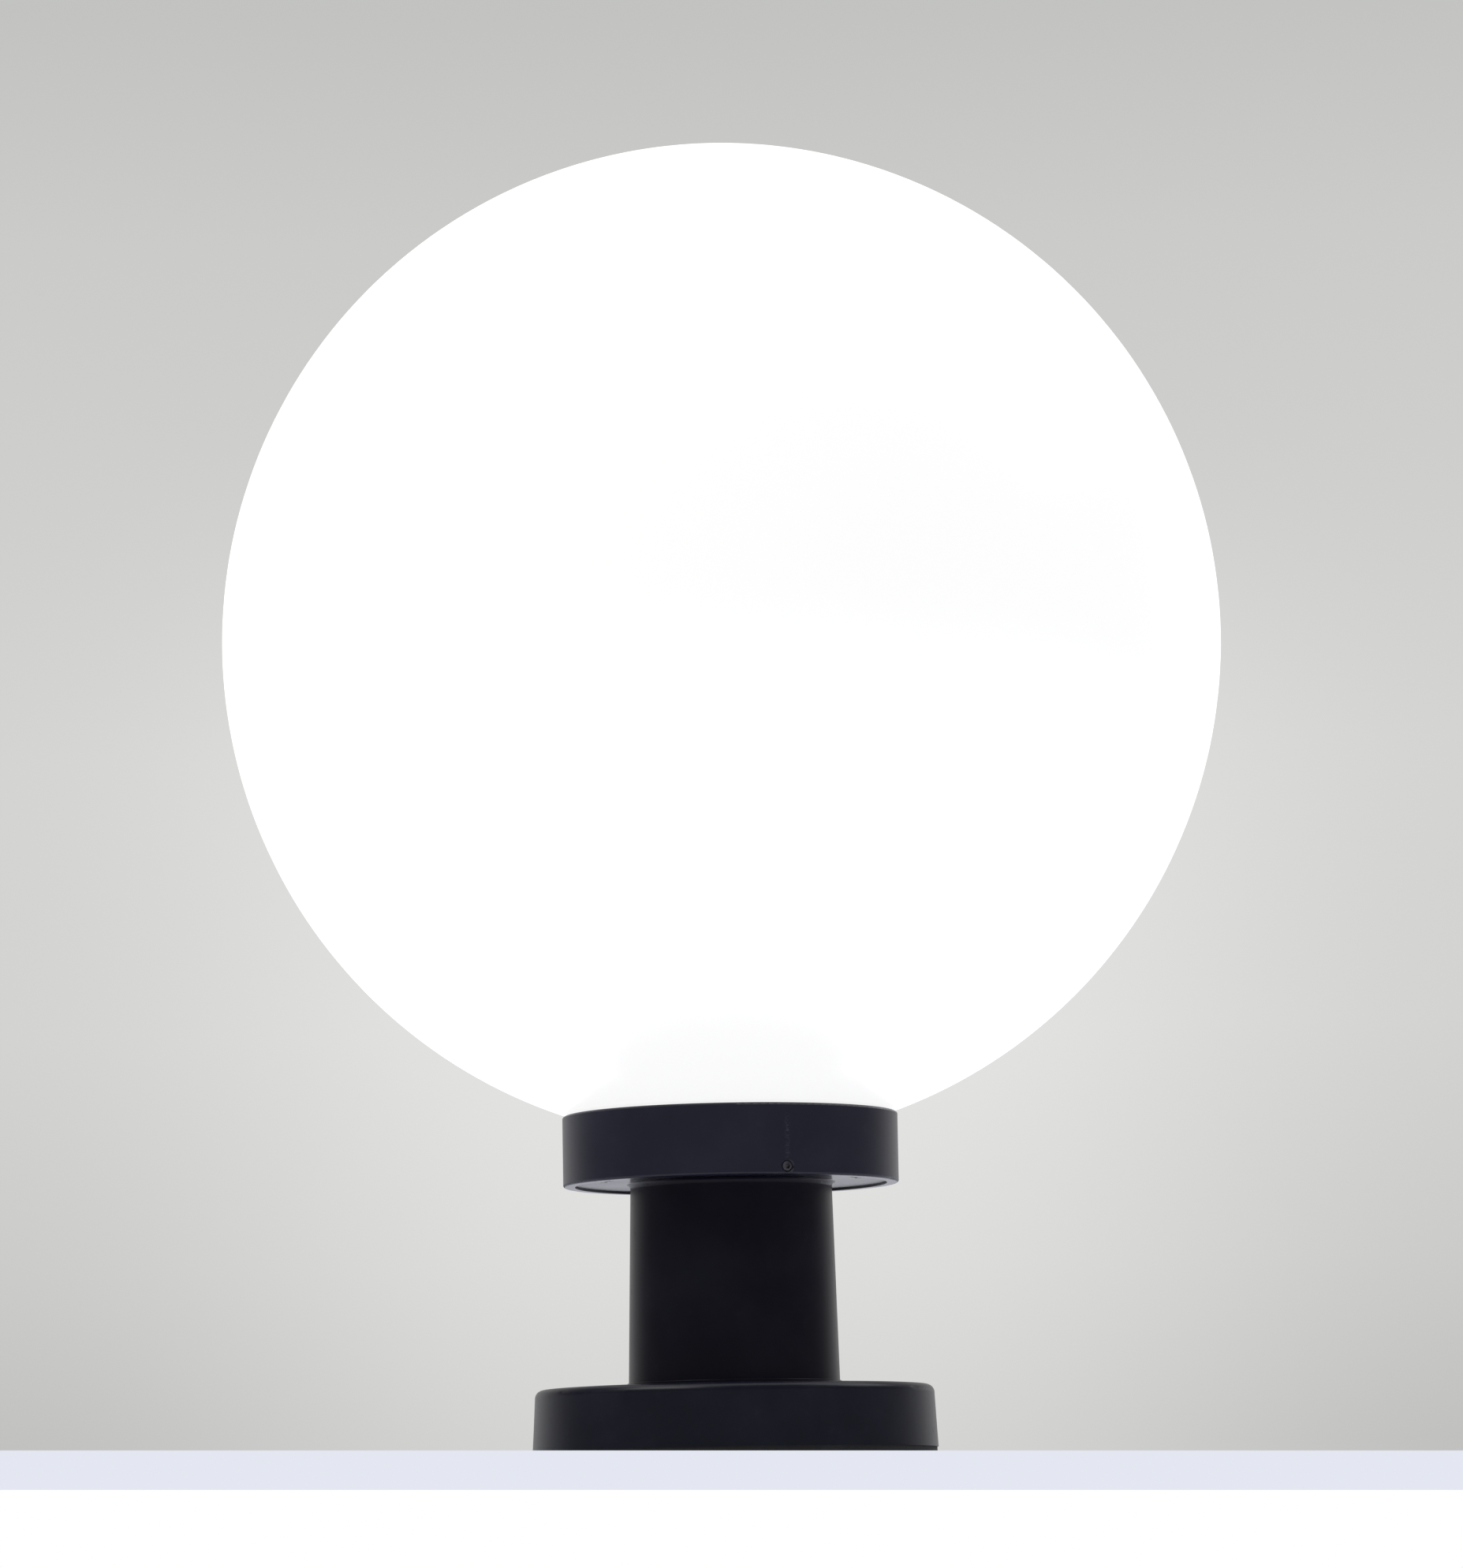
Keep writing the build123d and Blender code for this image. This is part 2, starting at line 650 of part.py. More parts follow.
# ---- terminal block ----
def make_terminal_block():
    body = fillet(brick(*block).edges().filter_by(Axis.Z), block_round)
    for side in (1, -1):
        pole = Pos(0, side * pole_spacing / 2, block[2] / 2)
        body -= pole * Rot(0, 90, 0) * Cylinder(insert_tube / 2 + thread_gap, block[0] + past)
        for end in (1, -1):
            body -= pole * Pos(end * pole_screw_spacing / 2, 0, 0) * rod(pole_access / 2, 0, block[2])
    body -= rod(block_screw / 2 + fixing_gap, -past, block[2] + past)
    head_seat = block[2] - block_screw_head_height
    body -= rod(block_screw_head / 2 + fixing_gap, head_seat, block[2] + past)
    return body


def make_terminal_insert():
    body = Rot(0, 90, 0) * Cylinder(insert_tube / 2, insert_length)
    body -= Rot(0, 90, 0) * Cylinder(insert_bore / 2, insert_length + past)
    for end in (1, -1):
        body -= Pos(end * pole_screw_spacing / 2, 0, 0) * rod(pole_screw / 2 + thread_gap, 0, insert_tube)
    return body


block_place = Pos(-block_offset, 0, block_z)
inserts = []
pole_screws = []
for side in (1, -1):
    pole_place = block_place * Pos(0, side * pole_spacing / 2, block[2] / 2)
    inserts.append(pole_place * make_terminal_insert())
    for end in (1, -1):
        clamp = rod(pole_screw / 2, lead_diameter / 2 + thread_gap, lead_diameter / 2 + pole_screw_height)
        slot = Pos(0, 0, lead_diameter / 2 + pole_screw_height) * Box(
            pole_screw + past, pole_slot_width, 2 * pole_slot_depth)
        pole_screws.append(pole_place * Pos(end * pole_screw_spacing / 2, 0, 0) * (clamp - slot))
fixing_length = block_z + block[2] - block_screw_head_height - gasket_thickness - thread_gap
fixing = Rot(180, 0, 0) * pan_screw(block_screw, fixing_length, block_screw_head, block_screw_head_height)
save("terminal_block", block_place * make_terminal_block())
save("terminal_inserts", *inserts)
save("terminal_screws", *pole_screws)
save("terminal_block_screw", block_place * Pos(0, 0, block[2] - block_screw_head_height) * fixing)


# ---- internal leads, from the terminal block up the tube to the lamp holder ----
def bend_radius(before, corner, after, radius):
    """Radius for a corner, no larger than its runs allow."""
    one = Vector(*before) - Vector(*corner)
    other = Vector(*after) - Vector(*corner)
    turn = 180 - one.get_angle(other)
    return min(radius, 0.45 * min(one.length, other.length) / tan(radians(turn / 2)))


def make_lead(side):
    block_end = -block_offset + insert_length / 2
    start = (block_end - lead_lead_in, side * pole_spacing / 2, pole_z)
    leave = (block_end + lead_bend, side * pole_spacing / 2, pole_z)
    turn_up = (0, side * lead_spread, pole_z)
    middle = (lead_bow, side * lead_spread, (tube_z + tube_top) / 2)
    fan_out = (0, side * lead_spread, tube_top + lead_diameter)
    under_terminal = (0, side * terminal_offset, terminal_z - lead_diameter)
    end = (0, side * terminal_offset, terminal_z + terminal_height - lead_diameter / 2)
    points = [start, leave, turn_up, middle, fan_out, under_terminal, end]
    wanted = [lead_sweep, lead_bend, lead_slack_bend, lead_bend, lead_bend]
    bends = [bend_radius(*points[n:n + 3], wanted[n]) for n in range(len(wanted))]
    path = FilletPolyline(*points, radius=bends)
    lead = sweep(Plane(origin=path @ 0, z_dir=path % 0) * Circle(lead_diameter / 2), path=path)
    print("lead", side, "radii", [round(bend, 1) for bend in bends], "length", round(path.length, 1),
          "volume ratio", round(lead.volume / (pi * lead_diameter**2 / 4 * path.length), 4))
    return lead


save("live_lead", make_lead(1))
save("neutral_lead", make_lead(-1))
print("height", round(globe_z + globe_diameter / 2, 2), "lamp top", round(lamp_top, 1),
      "globe centre", round(globe_z, 2), "neck foot", round(neck_z, 2))
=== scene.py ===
import json
from math import asin, ceil, cos, pi, radians, sin, sqrt

import bpy
from mathutils import Matrix, Vector


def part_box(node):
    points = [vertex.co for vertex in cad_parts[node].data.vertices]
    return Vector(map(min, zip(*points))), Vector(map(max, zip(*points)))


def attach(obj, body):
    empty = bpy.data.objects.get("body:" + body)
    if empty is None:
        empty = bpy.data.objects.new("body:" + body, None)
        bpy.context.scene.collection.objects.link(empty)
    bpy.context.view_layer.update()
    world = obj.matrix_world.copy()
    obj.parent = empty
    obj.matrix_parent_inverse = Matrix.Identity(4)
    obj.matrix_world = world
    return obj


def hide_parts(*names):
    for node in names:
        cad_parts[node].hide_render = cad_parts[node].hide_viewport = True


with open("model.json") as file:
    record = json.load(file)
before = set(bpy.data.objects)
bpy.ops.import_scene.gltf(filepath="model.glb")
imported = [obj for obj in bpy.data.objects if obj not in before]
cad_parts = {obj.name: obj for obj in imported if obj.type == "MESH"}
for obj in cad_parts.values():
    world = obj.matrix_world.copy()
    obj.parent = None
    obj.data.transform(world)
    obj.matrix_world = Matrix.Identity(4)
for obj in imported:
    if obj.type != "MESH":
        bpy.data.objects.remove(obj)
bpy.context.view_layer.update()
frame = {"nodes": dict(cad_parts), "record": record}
nodes = frame["nodes"]
scene = bpy.context.scene
mm = 0.001

# metres throughout, the front is -Y, azimuths are degrees to the right of the front


def nodeLow(name):
    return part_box(name)[0].z


def nodeTop(name):
    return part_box(name)[1].z


def nodeRadius(name):
    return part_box(name)[1].x


camera = {
    "distance": 1.83,          # from the light's axis to the lens
    "height": -0.035,          # the lens lies below the top of what the light stands on
    "aside": 0.00225,
    "pitch": 0.1280,           # radians, looking up
    "roll": 0.0177,            # radians, the light leans to the left in the picture
    "focalPixels": 7786.0,     # focal length in pixels of the full picture
    "pictureHeight": 1988,     # in pixels
    "sensor": 36.0,            # height in mm
    "nearest": 0.01,           # what is closer to the lens isn't rendered
}


def makeCamera():
    lens = bpy.data.cameras.new("camera")
    lens.lens = camera["focalPixels"] * camera["sensor"] / camera["pictureHeight"]
    lens.sensor_fit = "VERTICAL"
    lens.sensor_height = camera["sensor"]
    lens.clip_start = camera["nearest"]
    eye = bpy.data.objects.new("camera", lens)
    scene.collection.objects.link(eye)
    aim = Matrix.Rotation(pi / 2 + camera["pitch"], 4, "X") @ Matrix.Rotation(-camera["roll"], 4, "Z")
    place = Matrix.Translation((camera["aside"], -camera["distance"], camera["height"]))
    eye.matrix_world = place @ aim
    scene.camera = eye
    print("camera placed, lens", round(lens.lens, 1), "mm")


class Wire:
    # one socket of a node tree: + - * / and ** on it add Math nodes
    def __init__(self, tree, socket=None):
        self.tree = tree
        self.socket = socket

    def make(self, kind, settings=None, inputs=None, out=0):
        node = self.tree.nodes.new(kind)
        for name, value in (settings or {}).items():
            if name == "stops":
                self.setStops(node.color_ramp.elements, value)
            else:
                setattr(node, name, value)
        for name, value in (inputs or {}).items():
            self.plug(self.find(node.inputs, name), value)
        return Wire(self.tree, self.find(node.outputs, out))

    def find(self, sockets, name):
        if isinstance(name, int):
            return sockets[name]
        return next(socket for socket in sockets if socket.name == name and socket.enabled)

    def setStops(self, ramp, stops):
        for end, (place, colour) in zip((ramp[0], ramp[1]), (stops[0], stops[-1])):
            end.position = place
            end.color = (*colour, 1)
        for place, colour in stops[1:-1]:
            ramp.new(place).color = (*colour, 1)

    def plug(self, socket, value):
        if isinstance(value, Wire):
            self.tree.links.new(value.socket, socket)
        elif isinstance(value, list):          # a socket that takes several links
            for wire in value:
                self.tree.links.new(wire.socket, socket)
        else:
            socket.default_value = value

    def maths(self, operation, first, second=0.0):
        return self.make("ShaderNodeMath", {"operation": operation}, {0: first, 1: second})

    def __add__(self, other):
        return self.maths("ADD", self, other)

    def __sub__(self, other):
        return self.maths("SUBTRACT", self, other)

    def __rsub__(self, other):
        return self.maths("SUBTRACT", other, self)

    def __mul__(self, other):
        return self.maths("MULTIPLY", self, other)

    def __truediv__(self, other):
        return self.maths("DIVIDE", self, other)

    def __pow__(self, other):
        return self.maths("POWER", self, other)

    def sine(self):
        return self.maths("SINE", self)

    def cosine(self):
        return self.maths("COSINE", self)

    def size(self):
        return self.maths("ABSOLUTE", self)

    def floor(self):
        return self.maths("FLOOR", self)

    def turnFrom(self, x):
        # the angle whose sine side is this wire and whose cosine side is x
        return self.maths("ARCTAN2", self, x)

    def larger(self, other):
        return self.maths("MAXIMUM", self, other)

    def over(self, limit):
        return self.maths("GREATER_THAN", self, limit)

    def axes(self):
        split = self.make("ShaderNodeSeparateXYZ", None, {"Vector": self})
        return [Wire(self.tree, split.socket.node.outputs[n]) for n in range(3)]

    def vector(self, x, y, z):
        return self.make("ShaderNodeCombineXYZ", None, {"X": x, "Y": y, "Z": z})

    def noise(self, scale, detail, roughness, distortion=0.0):
        return self.make("ShaderNodeTexNoise", None, {
            "Vector": self, "Scale": scale, "Detail": detail, "Roughness": roughness,
            "Distortion": distortion})

    def between(self, low, high, start=0.0, end=1.0):
        return self.make("ShaderNodeMapRange", {"interpolation_type": "SMOOTHSTEP"}, {
            "Value": self, "From Min": low, "From Max": high, "To Min": start, "To Max": end})

    def mixColour(self, first, second):
        # this wire is the factor
        mix = self.make("ShaderNodeMix", {"data_type": "RGBA"}, {"Factor": self}, 2)
        sockets = mix.socket.node.inputs
        for socket, value in ((sockets[6], first), (sockets[7], second)):
            self.plug(socket, value if isinstance(value, Wire) else (*value, 1))
        return mix

    def bump(self, distance, strength, before=None):
        inputs = {"Height": self, "Distance": distance, "Strength": strength}
        if before is not None:
            inputs["Normal"] = before
        return self.make("ShaderNodeBump", None, inputs)

    def ray(self, kind):
        # 1 for the rays of this kind, such as Camera
        return self.make("ShaderNodeLightPath", out="Is %s Ray" % kind)


def newFinish(name, colour, roughness, metallic=0.0, **constants):
    # a material, its shader node and the Object coordinates
    material = bpy.data.materials.new(name)
    material.use_nodes = True
    tree = material.node_tree
    shader = tree.nodes["Principled BSDF"]
    shader.inputs["Base Color"].default_value = (*colour, 1)
    shader.inputs["Roughness"].default_value = roughness
    shader.inputs["Metallic"].default_value = metallic
    words = {"specular": "Specular IOR Level", "subsurface": "Subsurface Weight",
             "subsurfaceScale": "Subsurface Scale", "emission": "Emission Strength"}
    for key, value in constants.items():
        shader.inputs[words[key]].default_value = value
    place = Wire(tree).make("ShaderNodeTexCoord", None, None, "Object")
    return material, shader, place


def feed(shader, **links):
    words = {"colour": "Base Color", "roughness": "Roughness", "emission": "Emission Color",
             "normal": "Normal"}
    for key, wire in links.items():
        wire.tree.links.new(wire.socket, shader.inputs[words[key]])


def glowing(wire, colour):
    return wire.make("ShaderNodeEmission", None, {"Color": (*colour, 1), "Strength": 1.0})


def mixShaders(share, first, second):
    # the share is the second one's
    return share.make("ShaderNodeMixShader", None, {0: share, 1: first, 2: second})


def setSurface(material, shader):
    output = material.node_tree.nodes["Material Output"]
    material.node_tree.links.new(shader.socket, output.inputs["Surface"])


finishes = {}


blackPlastic = {
    "roughness": 0.34,
    "smootherBelow": 0.12,     # this much less roughness on the faces that look down
    "grain": 2600.0,           # of the fine eroded texture, per metre
    "grainDepth": 0.012 * mm,
    "waves": 26.0,             # slow unevenness of the moulding, per metre
    "waveDepth": 0.08 * mm,
    "clouds": 38.0,            # paler patches, per metre
    "rubs": 260.0,             # rubbed spots, per metre
    "downwards": (-0.9, -0.98),     # heights of the normal over which a face comes to look down
    # one black plastic in lit and shaded copies: the collar's paler colour is painted light from the globe,
    # the post's darker, less glossy copy is painted shade under the collar, and the foot lies between
    "collar": ((0.0098, 0.0095, 0.0225), 0.40),     # colour and specular level
    "post": ((0.0042, 0.0036, 0.0092), 0.17),
    "foot": ((0.0046, 0.0050, 0.0125), 0.36),
}


sinkMarkAndSheen = {
    "core": 0.2 * mm,          # half its width at full strength
    "halfWidth": 1.1 * mm,
    "above": 3 * mm,           # it starts this far above the collar's lower edge
    "below": 1 * mm,           # and ends this far below the top
    "fadeLow": 4 * mm,
    "fadeHigh": 6 * mm,
    "flecks": 900.0,           # per metre
    "depth": 0.18 * mm,
}


def sunkStreakAndSheen(place):
    # faint upright mark where the collar's plastic sank over the front set screw's boss; its dent is real
    # relief, and the paler tone it gives the colour is a painted sheen
    x, y, z = place.axes()
    azimuth = radians(lockScrew["azimuths"]["front"])
    side, ahead = sin(azimuth), cos(azimuth)
    streak = (x * ahead + y * side).size().between(sinkMarkAndSheen["halfWidth"], sinkMarkAndSheen["core"])
    front = (x * side - y * ahead).over(0.0)
    low, high = nodeLow("collar") + sinkMarkAndSheen["above"], nodeTop("collar") - sinkMarkAndSheen["below"]
    reach = z.between(low, low + sinkMarkAndSheen["fadeLow"]) * z.between(high, high - sinkMarkAndSheen["fadeHigh"])
    flecks = place.noise(sinkMarkAndSheen["flecks"], 2.0, 0.6).between(0.4, 0.62)
    return streak * front * reach * (flecks * 0.75 + 0.25)


def finishBlackPlastic(name, part, sunk=False):
    colour, specular = blackPlastic[part]
    material, shader, place = newFinish(name, colour, blackPlastic["roughness"], specular=specular)
    paler = tuple(channel * 1.5 + 0.003 for channel in colour)
    grain = place.noise(blackPlastic["grain"], 2.0, 0.6)
    cloud = place.noise(blackPlastic["clouds"], 3.0, 0.55)
    rub = place.noise(blackPlastic["rubs"], 4.0, 0.65, 0.4).between(0.58, 0.74)
    tone = cloud.between(0.35, 0.75) * 0.6 + rub * 0.25
    normal = place.make("ShaderNodeTexCoord", out="Normal")
    below = normal.axes()[2].between(*blackPlastic["downwards"])
    roughness = cloud * 0.10 + rub * 0.06 + grain * 0.06 + (blackPlastic["roughness"] - 0.11)
    relief = place.noise(blackPlastic["waves"], 1.0, 0.4).bump(blackPlastic["waveDepth"], 0.5)
    if sunk:
        markAndSheen = sunkStreakAndSheen(place)
        relief = markAndSheen.bump(sinkMarkAndSheen["depth"], 0.7, relief)
        # painted sheen: the streak lifts the collar's colour toward the paler tone
        tone = tone + markAndSheen * 0.5
    feed(shader, colour=tone.mixColour(colour, paler),
         roughness=roughness - below * blackPlastic["smootherBelow"],
         normal=grain.bump(blackPlastic["grainDepth"], 0.6, relief))
    return material


opal = {
    "colour": (0.21, 0.21, 0.208),    # what the lit shell throws back of the light that falls on it
    "glow": 0.85,
    "roughness": 0.22,
}


def finishOpal():
    material, shader, place = newFinish("opalGlobe", opal["colour"], opal["roughness"], emission=opal["glow"])
    cloud = place.noise(9.0, 2.0, 0.5)
    z = place.axes()[2]
    warm = z.between(nodeTop("globe"), nodeTop("bulb_dome")) * 0.6 + cloud * 0.4     # nearer the lamp
    feed(shader, emission=warm.mixColour((0.975, 0.980, 0.985), (1.0, 0.998, 0.990)))
    speck = place.noise(700.0, 2.0, 0.5)
    feed(shader, roughness=cloud * 0.08 + (opal["roughness"] - 0.04), normal=speck.bump(0.01 * mm, 0.3))
    return material


def finishRubber():
    material, shader, place = newFinish("blackRubber", (0.012, 0.012, 0.012), 0.72)
    pores = place.noise(1500.0, 3.0, 0.6)
    dust = place.noise(120.0, 4.0, 0.6).between(0.52, 0.78)
    feed(shader, colour=(dust * 0.5).mixColour((0.012, 0.012, 0.012), (0.038, 0.038, 0.038)),
         roughness=dust * 0.12 + 0.68, normal=pores.bump(0.08 * mm, 0.7))
    return material


def finishSponge():
    material, shader, place = newFinish("spongeRubber", (0.045, 0.045, 0.045), 0.9)
    cells = place.make("ShaderNodeTexVoronoi", {"feature": "SMOOTH_F1"}, {"Vector": place, "Scale": 1600.0})
    feed(shader, colour=cells.between(0.1, 0.6).mixColour((0.018, 0.018, 0.018), (0.06, 0.06, 0.062)),
         normal=cells.bump(0.3 * mm, 0.9))
    return material


def finishSilicone():
    material, shader, place = newFinish("clearSilicone", (0.78, 0.79, 0.78), 0.38, subsurface=0.35,
                                        subsurfaceScale=3 * mm)
    haze = place.noise(180.0, 3.0, 0.55)
    feed(shader, colour=haze.between(0.3, 0.7).mixColour((0.70, 0.71, 0.70), (0.83, 0.84, 0.83)),
         roughness=haze * 0.2 + 0.28, normal=haze.bump(0.06 * mm, 0.5))
    return material


def finishMetal(name, colour, roughness, turned=0.0, threads=None, spangle=0.0):
    # turned: fine rings round the axis; spangle: crystals of zinc, per metre
    # threads: pitch and depth of a right-hand thread
    material, shader, place = newFinish(name, colour, roughness, 1.0)
    x, y, z = place.axes()
    haze = place.noise(210.0, 4.0, 0.6)
    fine = place.noise(2400.0, 2.0, 0.5)
    worn = place.noise(75.0, 5.0, 0.65).between(0.5, 0.8)
    duller = tuple(channel * 0.72 for channel in colour)
    tone = haze.between(0.35, 0.75) * 0.5 + worn * 0.35
    relief = fine.bump(0.012 * mm, 0.5)
    if spangle:
        cells = place.make("ShaderNodeTexVoronoi", None, {"Vector": place, "Scale": spangle}, "Color")
        tone = tone * 0.6 + cells.axes()[0] * 0.4
    if turned:
        rings = ((x * x + y * y) ** 0.5 * turned).sine()
        relief = rings.bump(0.01 * mm, 0.4, relief)
    if threads:
        pitch, depth = threads
        wind = z * (2 * pi / pitch) - y.turnFrom(x)
        relief = wind.cosine().bump(depth, 1.0, relief)
    feed(shader, colour=tone.mixColour(colour, duller), normal=relief,
         roughness=haze * 0.16 + worn * 0.10 + (roughness - 0.10))
    return material


def finishPlastic(name, colour, roughness, grain, depth, mottle, **constants):
    material, shader, place = newFinish(name, colour, roughness, 0.0, **constants)
    cloud = place.noise(65.0, 4.0, 0.6)
    fine = place.noise(grain, 2.0, 0.6)
    darker = tuple(channel * (1 - mottle) for channel in colour)
    feed(shader, colour=cloud.between(0.3, 0.75).mixColour(colour, darker),
         roughness=cloud * 0.12 + fine * 0.06 + (roughness - 0.09), normal=fine.bump(depth, 0.6))
    return material


def finishCeramic():
    material, shader, place = newFinish("holderCeramic", (0.86, 0.84, 0.79), 0.62)
    grit = place.noise(1300.0, 4.0, 0.7)
    stain = place.noise(90.0, 3.0, 0.6)
    specks = place.noise(1900.0, 1.0, 0.5).between(0.70, 0.76)
    body = stain.between(0.3, 0.8).mixColour((0.87, 0.85, 0.80), (0.78, 0.75, 0.69))
    feed(shader, colour=(specks * 0.7).mixColour(body, (0.45, 0.40, 0.33)), normal=grit.bump(0.06 * mm, 0.7))
    return material


def finishDiffuser():
    material, shader, place = newFinish("lampDiffuser", (0.60, 0.60, 0.58), 0.46, emission=0.50)
    cloud = place.noise(40.0, 2.0, 0.5)
    frost = place.noise(3000.0, 2.0, 0.6)
    foot = place.axes()[2].between(nodeLow("bulb_dome"), nodeLow("bulb_dome") + 12 * mm)
    feed(shader, emission=(foot * 0.8 + cloud * 0.2).mixColour((0.80, 0.77, 0.70), (1.0, 0.985, 0.94)),
         roughness=cloud * 0.1 + 0.40, normal=frost.bump(0.01 * mm, 0.4))
    return material


def finishPhosphor():
    material, shader, place = newFinish("ledPhosphor", (0.90, 0.78, 0.18), 0.32, emission=0.25)
    lump = place.noise(2500.0, 2.0, 0.5)
    feed(shader, colour=lump.between(0.3, 0.7).mixColour((0.92, 0.80, 0.20), (0.84, 0.68, 0.12)),
         emission=lump.between(0.3, 0.7).mixColour((1.0, 0.93, 0.66), (0.95, 0.84, 0.50)),
         normal=lump.bump(0.03 * mm, 0.5))
    return material


def finishBoard(name, colour, trace, scale):
    # solder resist with straight tracks that show as a slightly paler relief
    material, shader, place = newFinish(name, colour, 0.38)
    tracks = place.make("ShaderNodeTexBrick", {"offset": 0.37, "squash": 0.8}, {
        "Vector": place, "Scale": scale, "Mortar Size": 0.035, "Mortar Smooth": 0.2, "Bias": -0.2}, "Fac")
    cloud = place.noise(320.0, 3.0, 0.6)
    feed(shader, colour=(tracks * 0.8).mixColour(colour, trace), roughness=cloud * 0.18 + 0.28,
         normal=tracks.bump(0.04 * mm, 0.8))
    return material


# name, colour, roughness, grain per metre, depth of the grain, how much darker the clouds are
plastics = {
    "holder_plastic": ("holderPlastic", (0.035, 0.035, 0.037), 0.52, 1200.0, 0.04 * mm, 0.25),
    "brown_insulation": ("brownInsulation", (0.22, 0.10, 0.05), 0.40, 2500.0, 0.01 * mm, 0.15),
    "blue_insulation": ("blueInsulation", (0.03, 0.20, 0.55), 0.40, 2500.0, 0.01 * mm, 0.15),
    "lamp_housing_white": ("housingWhite", (0.80, 0.80, 0.79), 0.27, 1600.0, 0.01 * mm, 0.04),
    "black_glass": ("blackGlass", (0.02, 0.02, 0.02), 0.10, 1400.0, 0.01 * mm, 0.3),
    "led_package": ("ledPackage", (0.78, 0.78, 0.75), 0.35, 2400.0, 0.01 * mm, 0.05),
    "capacitor_sleeve": ("capacitorSleeve", (0.04, 0.04, 0.05), 0.30, 900.0, 0.02 * mm, 0.3),
}


def makeFinishes():
    finishes.update({slot: finishPlastic(*values) for slot, values in plastics.items()})
    finishes.update({
        # lit and shaded copies of one plastic: painted light on the collar, painted shade on the post
        "collar": finishBlackPlastic("collarPlasticPaintedLight", "collar", sunk=True),
        "post": finishBlackPlastic("postPlasticPaintedShade", "post"),
        "black_plastic": finishBlackPlastic("footPlastic", "foot"),
        "opal_globe": finishOpal(),
        "black_rubber": finishRubber(),
        "sponge_rubber": finishSponge(),
        "clear_silicone": finishSilicone(),
        "zinc_steel": finishMetal("zincSteel", (0.62, 0.63, 0.64), 0.36, spangle=420.0),
        "threaded_tube": finishMetal("zincThread", (0.60, 0.60, 0.58), 0.34, threads=(1 * mm, 0.5 * mm)),
        "stainless_steel": finishMetal("stainlessSteel", (0.55, 0.55, 0.56), 0.28, turned=9000.0),
        "lock_steel": finishMetal("lockSteel", (0.15, 0.15, 0.16), 0.36),
        "brass": finishMetal("turnedBrass", (0.78, 0.60, 0.30), 0.30, turned=12000.0),
        "nickel_plate": finishMetal("nickelPlate", (0.75, 0.73, 0.69), 0.27),
        "holder_ceramic": finishCeramic(),
        "block_nylon": finishPlastic("blockNylon", (0.82, 0.82, 0.78), 0.42, 900.0, 0.03 * mm, 0.08,
                                     subsurface=0.3, subsurfaceScale=2 * mm),
        "lamp_diffuser": finishDiffuser(),
        "led_board_white": finishBoard("ledBoard", (0.80, 0.80, 0.78), (0.66, 0.65, 0.62), 260.0),
        "led_phosphor": finishPhosphor(),
        "circuit_green": finishBoard("circuitGreen", (0.04, 0.22, 0.09), (0.12, 0.38, 0.18), 420.0),
    })
    print(len(finishes), "finishes made")


def dressNodes():
    # every CAD node gets its own finish or its slot's; the pieces made below hide some of them
    slots = {part["node"]: part["material_slot"] for part in frame["record"]["subparts"]}
    for name, node in nodes.items():
        finish = finishes.get(name, finishes[slots[name]])
        if not node.material_slots:
            node.data.materials.append(finish)
        for holder in node.material_slots:
            holder.material = finish
    print(len(nodes), "CAD nodes dressed")


weld = 0.001 * mm              # points closer than this are joined


def newTree(name, **sizes):
    # a Geometry Nodes tree with a named input for each size, and Finish for its material
    tree = bpy.data.node_groups.new(name, "GeometryNodeTree")
    tree.interface.new_socket("Geometry", in_out="INPUT", socket_type="NodeSocketGeometry")
    for label, value in sizes.items():
        kind = "NodeSocketInt" if isinstance(value, int) else "NodeSocketFloat"
        tree.interface.new_socket(label, in_out="INPUT", socket_type=kind).default_value = value
    tree.interface.new_socket("Finish", in_out="INPUT", socket_type="NodeSocketMaterial")
    tree.interface.new_socket("Geometry", in_out="OUTPUT", socket_type="NodeSocketGeometry")
    entry = tree.nodes.new("NodeGroupInput")
    return Wire(tree), {socket.name: Wire(tree, socket) for socket in entry.outputs if socket.name}


def endTree(shape, finish):
    real = shape.make("GeometryNodeRealizeInstances", None, {"Geometry": shape})
    dressed = shape.make("GeometryNodeSetMaterial", None, {"Geometry": real, "Material": finish})
    leave = shape.tree.nodes.new("NodeGroupOutput")
    shape.tree.links.new(dressed.socket, leave.inputs[0])
    return shape.tree


def treeTurned():
    # turns an outline in the XZ plane about Z; its points run down the outside and up the inside
    start, given = newTree("turnedShape", Segments=128)
    columns = given["Segments"] + 1
    count = start.make("GeometryNodeAttributeDomainSize", {"component": "MESH"},
                       {"Geometry": given["Geometry"]}, "Point Count")
    sheet = start.make("GeometryNodeMeshGrid", None, {"Vertices X": count, "Vertices Y": columns}, "Mesh")
    index = start.make("GeometryNodeInputIndex")
    row = ((index + 0.5) / columns).floor()
    angle = (index - row * columns) * (2 * pi) / given["Segments"]
    spot = start.make("GeometryNodeInputPosition")
    point = start.make("GeometryNodeSampleIndex", {"data_type": "FLOAT_VECTOR"}, {
        "Geometry": given["Geometry"], "Value": spot, "Index": row}, "Value")
    radius, depth, height = point.axes()
    place = start.vector(radius * angle.sine(), radius * angle.cosine() * -1, height)
    shape = start.make("GeometryNodeSetPosition", None, {"Geometry": sheet, "Position": place})
    shape = start.make("GeometryNodeMergeByDistance", None, {"Geometry": shape, "Distance": weld})
    return endTree(shape, given["Finish"])


